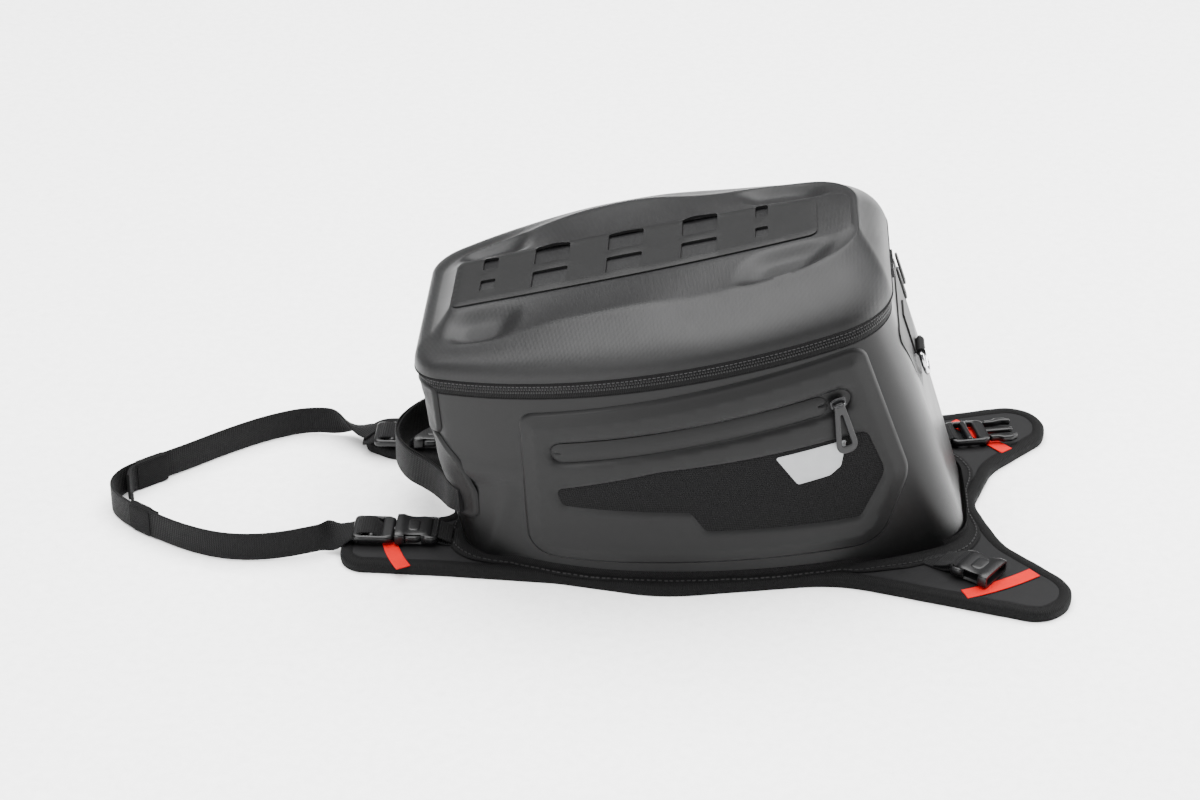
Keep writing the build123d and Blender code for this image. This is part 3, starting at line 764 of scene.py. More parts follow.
def make_lid():
    skin = lid_shell("lid_skin", lid_rows(), lid_rows(LID_WALL), MAT["lid"])
    finish_piece(skin, "lid", ["lid_shell"], "lid_eva")
    outer, inner = lid_rows(LINING_OUTSIDE + 0.1), lid_rows(LINING_INSIDE)
    lining = lid_shell("lid_lining_skin", outer, inner, MAT["lining"])
    finish_piece(lining, "lid", ["lid_lining"], "lining")


def cap_faces(ring, flip):
    """Strip of faces that closes a long ring from one end to the other."""
    count = len(ring)
    faces = []
    for k in range(count // 2):
        a, b = ring[k], ring[(k + 1) % count]
        c, d = ring[(count - k - 1) % count], ring[(count - k) % count]
        quad = [a, b, c, d]
        face = [quad[i] for i in range(4) if quad[i] not in quad[:i]]
        if len(face) > 2:
            faces.append(face if not flip else face[::-1])
    return faces


END_ROWS, WIDE_ROWS = ((23, 17), (-12, 17)), ((20, 26), (-18.5, 26))
SLOT_COLUMNS = [(32, 12, END_ROWS), (82, 28, WIDE_ROWS), (141, 28, WIDE_ROWS), (200, 28, WIDE_ROWS),
                (249, 10, END_ROWS)]


def band_bow(flat):
    """How far the bands between and beside the slots stand up from the lid, each by its own amount."""
    bow = np.zeros(len(flat))
    for k, (u, length, rows) in enumerate(SLOT_COLUMNS):
        low = min(v - width / 2 for v, width in rows)
        high = max(v + width / 2 for v, width in rows)
        reach = 1.7 if length > 20 else 0.8
        along = np.exp(-((flat[:, 0] - u) / (length * 0.5)) ** 6)
        top = np.exp(-((flat[:, 1] - high) / 4.5) ** 2) * (1 + 0.35 * math.sin(2.3 * k))
        middle = np.exp(-((flat[:, 1] - (low + high) / 2) / 5.0) ** 2) * 0.6
        bottom = np.exp(-((flat[:, 1] - low) / 3.5) ** 2) * 0.35
        ripple = 1 + 0.18 * np.sin(flat[:, 0] * 0.3 + 1.7 * k)
        bow += reach * along * ripple * (top + middle + bottom)
    return bow


def make_top_panel():
    """Laser-cut sheet along the spine, with two rows of slots between slightly bowed bands."""
    outer = anticlockwise(outline(PLATE))
    slots = []
    for u, length, rows in SLOT_COLUMNS:
        for v, width in rows:
            slots.append(box_loop(u - length / 2, u + length / 2, width / 2, 1.6, 2.5) + [0, v])
    flat, faces = flat_patch(slots, 4.0, outer)
    faces = outside_holes(flat, faces, slots)
    edge = distance_to(flat, outer)
    bow = band_bow(flat) * smooth(edge / 4)
    thick = 1.3 + 0.9 * smooth(edge / 1.2)
    both = np.vstack([spine_plane(flat, thick + bow), spine_plane(flat, 0.15 + bow * 0.9)])
    plate = mesh_object("lid_plate", both, sheet_faces(faces, len(flat)), MAT["plate"],
                        weave=np.vstack([flat, flat]), sharp=50)
    return finish_piece(plate, "lid", ["lid_top_panel"], "laser_cut_panel")


# ------------------------------------------------------------------ body
BODY_ROWS = 26
MID_ROW = 9
INNER_BULGE = 1.2


def body_rows(skin=0.0, bulge=1.6):
    """Rings of the bag's body from its foot up to the rim under the zip."""
    foot = level(outline(BODY_FOOT, skin), PAD_TOP)
    rim = lid_plane(outline(LID_EDGE, BODY_STEP + skin), -ZIP_BAND)
    outward = level(loop_outward(((foot + rim) / 2)[:, :2]), 0)
    rows = []
    for t in np.linspace(0, 1, BODY_ROWS):
        rows.append(foot + (rim - foot) * t + outward * bulge * math.sin(math.pi * t))
    return rows


BODY = np.array(body_rows())
NEAR_SPAN = slice(8, 161)


def wall_at(points):
    """Distance |y| of the body's skin from the middle at each (x, z), and its outward normal."""
    def reach(xz):
        cols = BODY[:, NEAR_SPAN]
        xi = np.array([np.interp(xz[:, 1], cols[:, i, 2], cols[:, i, 0]) for i in range(cols.shape[1])])
        yi = np.array([np.interp(xz[:, 1], cols[:, i, 2], -cols[:, i, 1]) for i in range(cols.shape[1])])
        return np.array([np.interp(xz[k, 0], xi[:, k], yi[:, k]) for k in range(len(xz))])

    y = reach(points)
    step = 1.5
    dx = (reach(points + [step, 0]) - reach(points - [step, 0])) / (2 * step)
    dz = (reach(points + [0, step]) - reach(points - [0, step])) / (2 * step)
    return y, unit(np.column_stack([-dx, np.ones(len(y)), -dz]))


def on_wall(side):
    def place(points, height):
        y, normal = wall_at(points)
        world = np.column_stack([points[:, 0], y, points[:, 1]]) + normal * np.reshape(height, (-1, 1))
        world[:, 1] *= side
        return world
    return place


def cup(name, outer, inner, low, high, material):
    """Shell, open at the top, between two sets of rings; low and high are the faces of its floor."""
    inside = inner[::-1][:-1] + [level(inner[0][:, :2], high)]
    rings = [level(outer[0][:, :2], low)] + outer[1:] + inside
    faces = grid_faces(len(rings), COLUMNS)
    last = (len(rings) - 1) * COLUMNS
    faces += cap_faces(list(range(COLUMNS)), True) + cap_faces([last + c for c in range(COLUMNS)], False)
    around = strip_lengths(outer[MID_ROW])
    weave = np.vstack([np.column_stack([around, r[:, 2]]) for r in rings])
    return mesh_object(name, np.vstack(rings), faces, material, weave=weave, sharp=60)


def make_body():
    rows = [row.copy() for row in BODY]
    crease_rows(rows)
    inside = body_rows(BODY_WALL, INNER_BULGE)
    body = cup("body_skin", rows, inside, PAD_TOP, PAD_TOP + 2.9, MAT["body"])
    finish_piece(body, "bag", ["body_shell"], "body_laminate")
    outer, inner = body_rows(LINING_OUTSIDE, INNER_BULGE), body_rows(LINING_INSIDE, INNER_BULGE)
    lining = cup("body_lining_skin", outer, inner, PAD_TOP + 3, PAD_TOP + 3.9, MAT["lining"])
    finish_piece(lining, "bag", ["body_lining"], "lining")


def crease_rows(rows):
    """Soft folds where the soft front corners meet the stiffer walls."""
    for row in rows:
        x, y, z = row.T
        for side in (-1, 1):
            corner = smooth((side * y - 60) / 25) * smooth((-x - 110) / 40)
            fold = 1.5 * np.exp(-((z - (96 + 0.25 * (x + 150))) / 6.0) ** 2)
            fold -= 1.1 * np.exp(-((z - (80 + 0.2 * (x + 150))) / 7.0) ** 2)
            low = 1.6 * np.exp(-(((x + 158) - (z - 45) * 0.3) / 6.0) ** 2) * smooth((90 - z) / 25)
            push = (fold + low) * corner
            row[:, 1] += side * push * 0.9
            row[:, 0] -= push * 0.45


# ------------------------------------------------------------------ side pockets
# Corners are (along the bag, height, radius).
PANEL_CORNERS = [(-140, 152, 12), (-134, 24, 22), (138, 29, 28), (158, 92, 30), (116, 210, 14)]
INSERT_CORNERS = [(-113, 91, 6), (-33, 114, 60), (122, 137, 8), (139, 97, 18), (121, 57, 8), (2, 57, 6),
                  (-10, 75, 6), (-107, 75, 6)]
REFLECTOR_CORNERS = [(53, 122, 1.5), (106, 131, 1.5), (103, 108, 5), (95, 101, 3), (71, 96, 3)]
POCKET_ZIP = np.array([(-115, 121.5), (108, 167.5)])
POCKET_ZIP_W = 17.0
POCKET_MOUTH = 17                   # length of the zip left open under its slider


def capsule(ends, width, step=3.0):
    """Closed outline of a straight strip with round ends."""
    a, b = ends
    along = (b - a) / np.linalg.norm(b - a)
    side = np.array([-along[1], along[0]])
    r = width / 2
    turn = np.linspace(-0.5, 0.5, 11) * math.pi
    end = [b - along * r + r * (math.cos(t) * along + math.sin(t) * side) for t in turn]
    start = [a + along * r - r * (math.cos(t) * along + math.sin(t) * side) for t in turn]
    return anticlockwise(resample(np.array(end + start), step))


def line_distance(points, ends):
    a, b = ends
    t = np.clip(((points - a) @ (b - a)) / ((b - a) @ (b - a)), 0, 1)
    return np.linalg.norm(points - (a + t[:, None] * (b - a)), axis=1)


def make_pockets():
    outer = anticlockwise(rounded(PANEL_CORNERS, 3))
    insert = anticlockwise(rounded(INSERT_CORNERS, 3))
    reflector = anticlockwise(rounded(REFLECTOR_CORNERS, 2))
    channel = capsule(POCKET_ZIP, POCKET_ZIP_W)
    rim_loops = [inward(outer, 1.6), inward(outer, 3.2), inward(outer, 7.0), inward(outer, 11.0),
                 channel, inward(channel, -1.6), insert, inward(insert, 1.4)]

    def panel_height(points):
        edge = distance_to(points, outer)
        height = 0.2 + 1.9 * smooth(edge / 2.4) + 1.7 * smooth((edge - 6.5) / 4.5)
        dip = smooth((distance_to(points, channel) + 2.2) / 1.6)
        recess = smooth((distance_to(points, insert) + 0.5) / 1.6)
        soft = 0.25 * np.sin(points[:, 0] / 31 + 1) * np.cos(points[:, 1] / 23)
        return height + soft * smooth(edge / 20) - 2.6 * dip - 1.5 * recess

    def insert_height(points):
        edge = distance_to(points, insert)
        return 2.3 + 0.7 * smooth(edge / 2.5) + 0.2 * np.sin(points[:, 0] / 19) * smooth(edge / 12)

    def film_height(points):
        return insert_height(points) + 0.25 + 0.35 * smooth(distance_to(points, reflector) / 0.8)

    def channel_height(points):
        edge = distance_to(points, closed_part)
        middle = line_distance(points, closed_line)
        lips = 1.5 * np.sqrt(np.clip(edge / (POCKET_ZIP_W / 2), 0, 1))
        groove = 0.9 * np.exp(-(middle / 0.55) ** 2)
        return 1.3 + lips - groove

    run = (POCKET_ZIP[1] - POCKET_ZIP[0]) / np.linalg.norm(POCKET_ZIP[1] - POCKET_ZIP[0])
    closed_line = np.array([POCKET_ZIP[0], POCKET_ZIP[1] - run * POCKET_MOUTH])
    closed_part = capsule(closed_line, POCKET_ZIP_W)

    def mouth_height(points):
        ridges = 0.25 * np.sin((points @ run) * 2 * math.pi / 2.6)
        return 0.75 + ridges * np.exp(-(line_distance(points, POCKET_ZIP) / 2.5) ** 2)

    centre_lines = [strip_outline(closed_line, gap) for gap in (1.0, 2.2)]
    # Each sheet: name, outline, height, material, mesh step, kept lines and base, then its nodes and slot.
    sheets = [
        ("side_panel", outer, panel_height, "panel", 4.5, rim_loops, 0.1, ["side_panels"], "body_laminate"),
        ("pocket_insert", inward(insert, 0.4), insert_height, "insert", 4.5, [inward(insert, 2.6)], 1.6,
         ["pocket_inserts"], "insert_weave"),
        ("reflector", reflector, film_height, "reflector", 4, [inward(reflector, 0.8)], 2.6,
         ["reflectors"], "reflective"),
        ("pocket_zip", inward(closed_part, 0.3), channel_height, "panel", 3.0,
         centre_lines + [inward(closed_part, 1.5), inward(closed_part, 4)], 0.4,
         ["pocket_zip_tapes"], "zip_tape"),
        ("pocket_zip_mouth", inward(channel, 0.8), mouth_height, "tape", 2.5, [], 0.3, [], "zip_tape"),
    ]
    for side, name in SIDES:
        for kind, loop, height, look, step, lines, base, nodes, slot in sheets:
            piece = draped(f"{kind}_{name}", loop, height, on_wall(side), MAT[look], step, lines, base,
                           side > 0)
            finish_piece(piece, "bag", nodes, slot)


def strip_outline(ends, gap):
    a, b = ends
    along = (b - a) / np.linalg.norm(b - a)
    trim = along * (POCKET_ZIP_W / 2)
    return capsule(np.array([a + trim - along * gap, b - trim + along * gap]), 2 * gap, 3.0)


# ------------------------------------------------------------------ main zip
def zip_path(inset):
    """Line round the lid's edge, open in front where the lid hinges."""
    hinge, count = 50.0, 900
    loop = outline(LID_EDGE, inset)
    keep = ~((loop[:, 0] < 4 + inset) & (np.abs(loop[:, 1]) < hinge))
    first = int(np.argmax(keep & ~np.roll(keep, 1)))
    ordered = np.roll(loop, -first, axis=0)[:int(keep.sum())]
    return lid_plane(evenly(ordered, count))


def band_section(top, bottom, thick, lip):
    """Section of one zip tape: (out, up) points."""
    return np.array([(0, top), (lip * 0.5, top), (lip, (top + bottom) / 2), (lip * 0.5, bottom), (0, bottom),
                     (-thick, bottom), (-thick, (top + bottom) / 2), (-thick, top)])


def frames_along(path):
    """Forward, outward and upward directions for a line on the lid's plane."""
    tangent = directions(path)
    turn = math.radians(LID_TILT)
    up = np.array([-math.sin(turn), 0, math.cos(turn)])
    return tangent, np.cross(tangent, up), up


def make_main_zip():
    path = zip_path(2.9)
    _, out, up = frames_along(path)
    along = strip_lengths(path)
    halves = {"upper": (-0.2, -ZIP_BAND / 2 + 0.15, "lid", "upper_zip_tape"),
              "lower": (-ZIP_BAND / 2 - 0.15, -ZIP_BAND + 0.1, "bag", "lower_zip_tape")}
    for name, (top, bottom, body, node) in halves.items():
        section = band_section(top, bottom, 1.6, 0.7)
        rows = path[:, None] + section[None, :, :1] * out[:, None] + section[None, :, 1:] * up
        weave = [(along[i], s) for i in range(len(path)) for s in section[:, 1]]
        tape = swept(f"zip_tape_{name}", rows, MAT["tape"], weave=weave)
        sign = 1 if name == "upper" else -1
        middle = -ZIP_BAND / 2
        parts = [tape, zip_row("teeth", path, middle + sign * 1.25, 2.1, 0 if name == "upper" else 1.05)]
        if name == "upper":
            parts.append(zip_row("seam", path, middle + 3.4, 3.4))
        piece = join(parts, f"main_zip_{name}")
        finish_piece(piece, body, [node], "zip_tape")


def small_blocks(name, centres, axes, sizes, material):
    """Many small rounded blocks in one mesh; axes are three directions for each block."""
    rim = ((-1, -0.6), (-0.6, -1), (0.6, -1), (1, -0.6), (1, 0.6), (0.6, 1), (-0.6, 1), (-1, 0.6))
    n = len(rim)
    shape = np.array([(x, y, z) for z in (-1, 1) for x, y in rim], float) * 0.5 * sizes
    one = [[(i + 1) % n, i, n + i, n + (i + 1) % n][::-1] for i in range(n)]
    one += [list(range(n))[::-1], [n + i for i in range(n)]]
    points, faces = [], []
    for k, centre in enumerate(centres):
        points.append(centre + shape @ np.array([axis[k] for axis in axes]))
        faces += [[i + k * 2 * n for i in f] for f in one]
    return mesh_object(name, np.vstack(points), faces, material, weave=np.zeros((len(points) * 2 * n, 2)))


def places_along(path, pitch, offset=0.0):
    along = strip_lengths(path)
    wanted = np.arange(offset, along[-1], pitch)
    return np.clip(np.searchsorted(along, wanted), 0, len(path) - 1), wanted, along


def zip_row(kind, path, height, pitch, offset=0.0):
    """Teeth or stitches in a row along the zip, at a height on its band."""
    tangent, out, up = frames_along(path)
    index, wanted, along = places_along(path, pitch, offset)
    centre = np.stack([np.interp(wanted, along, path[:, k]) for k in range(3)], axis=1)
    ups = np.broadcast_to(up, centre.shape)
    if kind == "teeth":
        axes, sizes, stand, look = (ups, out[index], tangent[index]), (2.0, 1.0, 1.1), 0.5, "coil"
    else:
        axes, sizes, stand, look = (tangent[index], out[index], ups), (2.3, 0.7, 0.7), 0.55, "thread"
    return small_blocks(kind, centre + up * height + out[index] * stand, axes, sizes, MAT[look])


def make_lid_binding():
    """Thin bound edge round the bottom of the lid, and the welt round the top of the body."""
    for name, inset, drop, body, radius in (("lid_edge_binding", 0.6, 0.3, "lid", 1.3),
                                            ("body_rim_welt", BODY_STEP + 0.3, -ZIP_BAND - 0.4, "bag", 1.1)):
        loop = lid_plane(outline(LID_EDGE, inset), drop)
        path = np.vstack([loop, loop[:1]])
        _, out, up = frames_along(path)
        rows = [[loop[i] + out[i] * x + up * y for x, y in ring(radius, radius, 8)] for i in range(len(loop))]
        along = strip_lengths(path)
        weave = [(along[i], k) for i in range(len(loop)) for k in range(8)]
        piece = swept(name, rows, MAT["binding"], closed=True, weave=weave)
        finish_piece(piece, body, slot="zip_tape")


# ------------------------------------------------------------------ harness pad
def pad_outline():
    near = [(x, -y, r) for x, y, r in PAD_CORNERS]
    return anticlockwise(rounded(near + [REAR_NOTCH] + PAD_CORNERS[::-1], 3.0))


def zone_of(points):
    """Which body each point of the pad belongs to: 0 bag, 1 front, 2 rear left, 3 rear right."""
    root = math.sqrt(0.5)
    zone = np.zeros(len(points), int)
    zone[points[:, 0] < -190] = 1
    zone[(points[:, 0] - points[:, 1]) * root > 187] = 2
    zone[(points[:, 0] + points[:, 1]) * root > 187] = 3
    return zone


EARS = [("centre", "bag"), ("front", "front_ears"), ("rear_left", "rear_left_ear"),
        ("rear_right", "rear_right_ear")]


def split_by_zone(name, points, faces, weave, material, node):
    """One piece for each zone of the pad."""
    faces = [list(f) for f in faces]
    middles = np.array([points[f].mean(0) for f in faces])
    zones = zone_of(middles)
    for k, (part, body) in enumerate(EARS):
        chosen = [f for f, z in zip(faces, zones) if z == k]
        used = sorted({i for f in chosen for i in f})
        index = {old: new for new, old in enumerate(used)}
        piece = mesh_object(f"{name}_{part}", points[used], [[index[i] for i in f] for f in chosen], material,
                            weave=weave[used], sharp=55)
        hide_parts(f"{part}_{node}")
        bend_ear(piece, body)


def bend_ear(piece, body):
    """Tie a piece of the pad to the bag; a piece of an ear only gets its transform baked, and the ends of its
    fold are worked out but not used.
    """
    if body == "bag":
        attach(piece, "bag")
        return
    if body == "front_ears":
        reach, way = (0.193, 0.215), np.array([-1.0, 0.0])
    else:
        side = -1.0 if body == "rear_left_ear" else 1.0
        reach, way = (0.191, 0.213), np.array([1.0, side]) * math.sqrt(0.5)
    start, end = ((*(way * distance), PAD_TOP / 2 * MM) for distance in reach)
    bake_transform(piece)
    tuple(start)
    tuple(end)


def make_pad():
    outer = pad_outline()
    loops = [inward(outer, 2.5), inward(outer, 6.0), inward(outer, 10.0)]
    flat, faces = flat_patch(loops, 5.0, outer)
    edge = distance_to(flat, outer)
    quilt = 0.35 * np.sin(flat[:, 0] / 17) * np.sin(flat[:, 1] / 15)
    top = 7.0 + 1.4 * smooth(edge / 8) + 0.5 * smooth(edge / 30) + quilt * smooth(edge / 15)
    top = np.minimum(top, PAD_TOP + 0.25)
    shell, weave = sheet_faces(faces, len(flat)), np.vstack([flat, flat])
    points = np.vstack([np.column_stack([flat, top]), level(flat, 1.9)])
    split_by_zone("pad", points, shell, weave, MAT["pad"], "pad")
    under = np.vstack([level(flat, 1.85), level(flat, 0.1)])
    split_by_zone("underlay", under, shell, weave, MAT["rubber"], "underlay")
    make_binding(outer)


# Section of the folded tape: (distance out from the pad's edge, height).
BINDING_SECTION = [(-9.2, 8.3), (-8.7, 9.1), (-5.5, 9.45), (-2.5, 9.35), (-0.6, 8.6), (0.6, 7.1), (0.8, 4.8),
                   (0.6, 2.2), (-0.8, 0.5), (-3.0, 0.15), (-8.2, 0.15), (-8.6, 0.9), (-4, 1.4), (-1.6, 4.6),
                   (-4, 7.4)]
STITCH_PITCH = 4.2


def make_binding(outer):
    """Tape folded over the pad's edge and stitched through."""
    path = resample(outer, 3.0)
    out = loop_outward(path)
    along = strip_lengths(path)
    points, weave = [], []
    for i in range(len(path)):
        wave = 0.18 * math.sin(along[i] / 7.1) + 0.12 * math.sin(along[i] / 3.3 + 1)
        points += [(*(path[i] + out[i] * (s + wave)), z) for s, z in BINDING_SECTION]
        weave += [(along[i], s + z) for s, z in BINDING_SECTION]
    faces = grid_faces(len(path), len(BINDING_SECTION), wrap=True)
    stitch_points, stitch_faces = pad_stitches(path, out)
    faces += [[i + len(points) for i in f] for f in stitch_faces]
    points = np.vstack([points, stitch_points])
    weave = np.vstack([weave, np.zeros((len(stitch_points), 2))])
    split_by_zone("binding", points, faces, weave, MAT["binding"], "binding")


def pad_stitches(path, out):
    """Raised lock stitches along the inner edge of the binding."""
    loop = np.vstack([path, path[:1]])
    length = strip_lengths(loop)
    points, faces = [], []
    for k, s in enumerate(np.arange(0, length[-2], STITCH_PITCH)):
        i = int(np.clip(np.searchsorted(length, s), 1, len(path) - 1))
        middle = np.array([np.interp(s, length, loop[:, 0]), np.interp(s, length, loop[:, 1])])
        side = out[i]
        ahead = np.array([-side[1], side[0]])
        centre = middle - side * 6.3
        for a, b, z in ((-1.4, 0, 9.1), (-0.9, 0.4, 9.55), (0.9, 0.4, 9.55), (1.4, 0, 9.1), (0.9, -0.4, 9.55),
                        (-0.9, -0.4, 9.55)):
            points.append((*(centre + ahead * a + side * b), z))
        m = 6 * k
        faces += [[m, m + 5, m + 1], [m + 1, m + 5, m + 4, m + 2], [m + 2, m + 4, m + 3],
                  [m, m + 1, m + 2, m + 3, m + 4, m + 5]]
    return np.array(points), faces


# ------------------------------------------------------------------ ribbons and tabs on the pad
def make_stripes():
    """Red ribbons sewn across the ears."""
    stripes = [("front_stripe_left", [(-246, -84), (-242, -101), (-232, -118)], "front_ears"),
               ("front_stripe_right", [(-246, 84), (-242, 101), (-232, 118)], "front_ears"),
               ("rear_stripe_left", [(202, -134), (232, -122), (258, -101)], "rear_left_ear"),
               ("rear_stripe_right", [(207, 127), (231, 104), (250, 82)], "rear_right_ear")]
    nodes = {"front_ears": "front_stripes", "rear_left_ear": "rear_left_stripe",
             "rear_right_ear": "rear_right_stripe"}
    for name, plan, body in stripes:
        line = spline(level(plan, PAD_TOP + 0.5) * MM, 30) / MM
        piece = ribbon(name, line, 12.0, 1.0, MAT["red"])
        finish_piece(piece, body, [nodes[body]], "red_webbing")


def black_ribbon(name, points, width, thickness, body=None, node=None):
    line = spline(np.array(points) * MM, 40) / MM
    piece = ribbon(name, line, width, thickness, MAT["webbing"])
    return finish_piece(piece, body, [node] if node else [], "black_webbing")


FRONT_BUCKLE_Y = 73.5
REAR_SOCKET_SEAT = (-33.9, (227.0, -115.5), PAD_TOP + 1.7)     # turn about Z, place of the mouth, height
REAR_PLUG_SEAT = (192.0, (235.0, 105.0), PAD_TOP + 0.1)
TAB_W, TAB_T = 24.4, 1.5
# Side views (x, z) of the tab folded round the front buckle's bar, and of the strap's web behind it.
FRONT_TAB_ROUTE = [(-190, 10.4), (-196, 10.2), (-203, 10.2), (-209, 12.5), (-213.5, 15.6), (-216, 17.2),
                   (-212, 18.4), (-205, 16.0), (-198, 12.8)]
FRONT_WEB_ROUTE = [(-285.5, 12.2), (-277, 13.2), (-271, 18.8), (-265.5, 20.2), (-259, 19.2), (-255.5, 14.5),
                   (-252, 12.0)]
REAR_TAB_ROOT = 34.0                # distance from a rear buckle's mouth to its webbing bar


def make_tabs():
    """Webbing that ties each buckle to its ear or to the body."""
    for side, name in SIDES:
        y = FRONT_BUCKLE_Y * side
        fold = [(x, y, z) for x, z in FRONT_TAB_ROUTE]
        tab = black_ribbon(f"front_tab_{name}", fold, TAB_W, TAB_T, None, "front_tabs")
        bend_ear(tab, "front_ears")
        hump = [(x, y, z) for x, z in FRONT_WEB_ROUTE]
        black_ribbon(f"front_web_{name}", hump, TAB_W + 0.2, TAB_T + 0.2, "front_ears")
    rear_tab("left", REAR_SOCKET_SEAT, -1)
    rear_tab("right", REAR_PLUG_SEAT, 1)


def rear_tab(name, seat, direction):
    """Folded webbing from an ear to the rear buckle's bar."""
    turn, mouth, z0 = seat
    a = math.radians(turn)
    along, origin = np.array([math.cos(a), math.sin(a)]) * direction, np.array(mouth)
    root = REAR_TAB_ROOT
    fold = ((root + 26, 9.9), (root + 16, 9.9), (root + 6, 10.6), (root - 2, z0 + 3.4),
            (root - 5.5, z0 + 7.2), (root - 2, z0 + 9.2), (root + 6, 14.2), (root + 15, 11.8))
    points = [(*(origin + along * x), z) for x, z in fold]
    tab = black_ribbon(f"rear_tab_{name}", points, TAB_W, TAB_T, None, f"rear_{name}_tab")
    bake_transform(tab)


# ------------------------------------------------------------------ flange and patches
NEAR_HALF = COLUMNS // 2 + 1
AROUND = strip_lengths(BODY[MID_ROW][:NEAR_HALF])
RAISED_BODY = np.concatenate([BODY, BODY[-1:] * 4 - BODY[-2:-1] * 3])      # reaches over the zip


def around_wall(points):
    """Body skin at (distance round from the front's middle, z) on the near side, with its normals."""
    def spot(sz):
        column = np.interp(sz[:, 0], AROUND, np.arange(NEAR_HALF))
        low = np.clip(column.astype(int), 0, NEAR_HALF - 2)
        share = (column - low)[:, None]
        result = np.zeros((len(sz), 3))
        for k, (c, z) in enumerate(zip(low, sz[:, 1])):
            ends = [[np.interp(z, RAISED_BODY[:, c + e, 2], RAISED_BODY[:, c + e, axis]) for axis in range(3)]
                    for e in (0, 1)]
            result[k] = np.array(ends[0]) * (1 - share[k]) + np.array(ends[1]) * share[k]
        return result

    here = spot(points)
    along = spot(points + [1.5, 0]) - spot(points - [1.5, 0])
    up = spot(points + [0, 1.5]) - spot(points - [0, 1.5])
    return here, unit(np.cross(along, up))


def on_around(side):
    def place(points, height):
        here, normal = around_wall(points)
        world = here + normal * np.reshape(height, (-1, 1))
        world[:, 1] *= -side
        return world
    return place


CORNER_PATCH = [(56, 118, 8), (88, 115, 10), (106, 97, 14), (115, 70, 14), (110, 44, 10), (56, 40, 8)]
ZIP_COVER = [(52, 157, 5), (100, 159, 5), (94, 116, 9), (66, 108, 9)]


def make_patches():
    """Soft reinforcing patches round both front corners, and the covers over the zip's ends."""
    for side, name in SIDES:
        for kind, corners, thick, node in (("corner_patch", CORNER_PATCH, 1.2, "front_patches"),
                                           ("zip_cover", ZIP_COVER, 1.5, None)):
            outer = anticlockwise(rounded(corners, 3))

            def height(points, outer=outer, thick=thick):
                edge = distance_to(points, outer)
                roll = 0.9 * np.exp(-((edge - 3.0) / 2.2) ** 2)
                crease = 0.5 * np.sin(points[:, 1] / 5.5 + points[:, 0] / 14) * smooth((edge - 5) / 10)
                return 0.3 + thick * smooth(edge / 2.0) + roll + crease

            loops = [inward(outer, 1.5), inward(outer, 3), inward(outer, 5)]
            piece = draped(f"{kind}_{name}", outer, height, on_around(side), MAT["patch"], 4, loops, 0.05,
                           side > 0)
            finish_piece(piece, "bag", [node] if node else [], "patch")


# Section of the flange: (share of the room beside the body, height over the pad).
FLANGE_SECTION = [(-0.12, 8.6), (-0.1, 3.2), (0.0, 3.0), (0.12, 2.5), (0.5, 1.8), (0.93, 1.6), (1.0, 1.0),
                  (0.98, 0.1)]


def make_flange():
    """Webbing flange that joins the foot of the body to the pad, with its row of stitches."""
    rim = pad_outline()
    base = outline(BODY_FOOT)
    out = loop_outward(base)
    room = np.clip(distance_to(base, rim) - 9.5, 2.5, 13.0)
    room = np.minimum(room, (np.roll(room, 6) + np.roll(room, -6) + room) / 3)
    along = strip_lengths(base)
    wave = 0.5 * np.sin(along / 11) + 0.35 * np.sin(along / 4.7 + 1)
    rows = []
    for share, z in FLANGE_SECTION:
        offset = room * share + (wave * 0.4 if share > 0 else 0) + 1.2
        row = level(base + out * offset[:, None], PAD_TOP + z)
        if 0 < share < 1:
            row[:, 2] += wave * 0.35
        rows.append(row)
    rings = rows[::-1] + [level(base - out * 1.0, PAD_TOP + 0.1)]
    faces = grid_faces(len(rings), COLUMNS, wrap=True)
    weave = np.vstack([np.column_stack([along, np.full(COLUMNS, 5.0 * k)]) for k in range(len(rings))])
    flange = mesh_object("body_flange_webbing", np.vstack(rings), faces, MAT["binding"], weave=weave,
                         sharp=50)
    centre = [(*(base[i] + out[i] * (room[i] * 0.72 + 1.2)), PAD_TOP + 1.95 + wave[i] * 0.35)
              for i in range(0, COLUMNS)]
    line = evenly(np.vstack([centre, centre[:1]]), 1200)
    tangent = directions(line)
    side = np.cross(tangent, [0, 0, 1.0])
    index, _, _ = places_along(line, 4.4)
    axes = (tangent[index], side[index], np.broadcast_to([0, 0, 1.0], (len(index), 3)))
    seam = small_blocks("flange_seam", line[index], axes, (2.8, 0.9, 0.9), MAT["dark_thread"])
    finish_piece(join([flange, seam], "body_flange_webbing"), "bag", ["body_flange"], "piping")


# ------------------------------------------------------------------ moulded parts
def moulded_plate(name, outer, holes, z0, z1, radius, material, step=1.6, crown=0.0):
    """Flat moulded part with rounded edges and holes, lying between two heights."""
    outer = anticlockwise(outer)
    holes = [anticlockwise(hole) for hole in holes]
    loops = [inward(outer, radius * 0.3), inward(outer, radius)]
    loops += [line for hole in holes for line in (hole, inward(hole, -radius * 0.3), inward(hole, -radius))]
    flat, faces = flat_patch(loops, step, outer)
    faces = outside_holes(flat, faces, holes)
    edge = distance_to(flat, outer)
    for hole in holes:
        edge = np.minimum(edge, -distance_to(flat, hole))
    used = sorted({i for f in faces for i in f})
    index = {old: new for new, old in enumerate(used)}
    flat, edge = flat[used], edge[used]
    faces = [[index[i] for i in f] for f in faces]
    t = np.clip(1 - edge / radius, 0, 1)
    drop = radius * (1 - np.sqrt(1 - t * t))
    rise = crown * smooth(edge / 6)
    both = np.vstack([np.column_stack([flat, z1 - drop + rise]), np.column_stack([flat, z0 + drop])])
    return mesh_object(name, both, sheet_faces(faces, len(flat)), material, sharp=60)


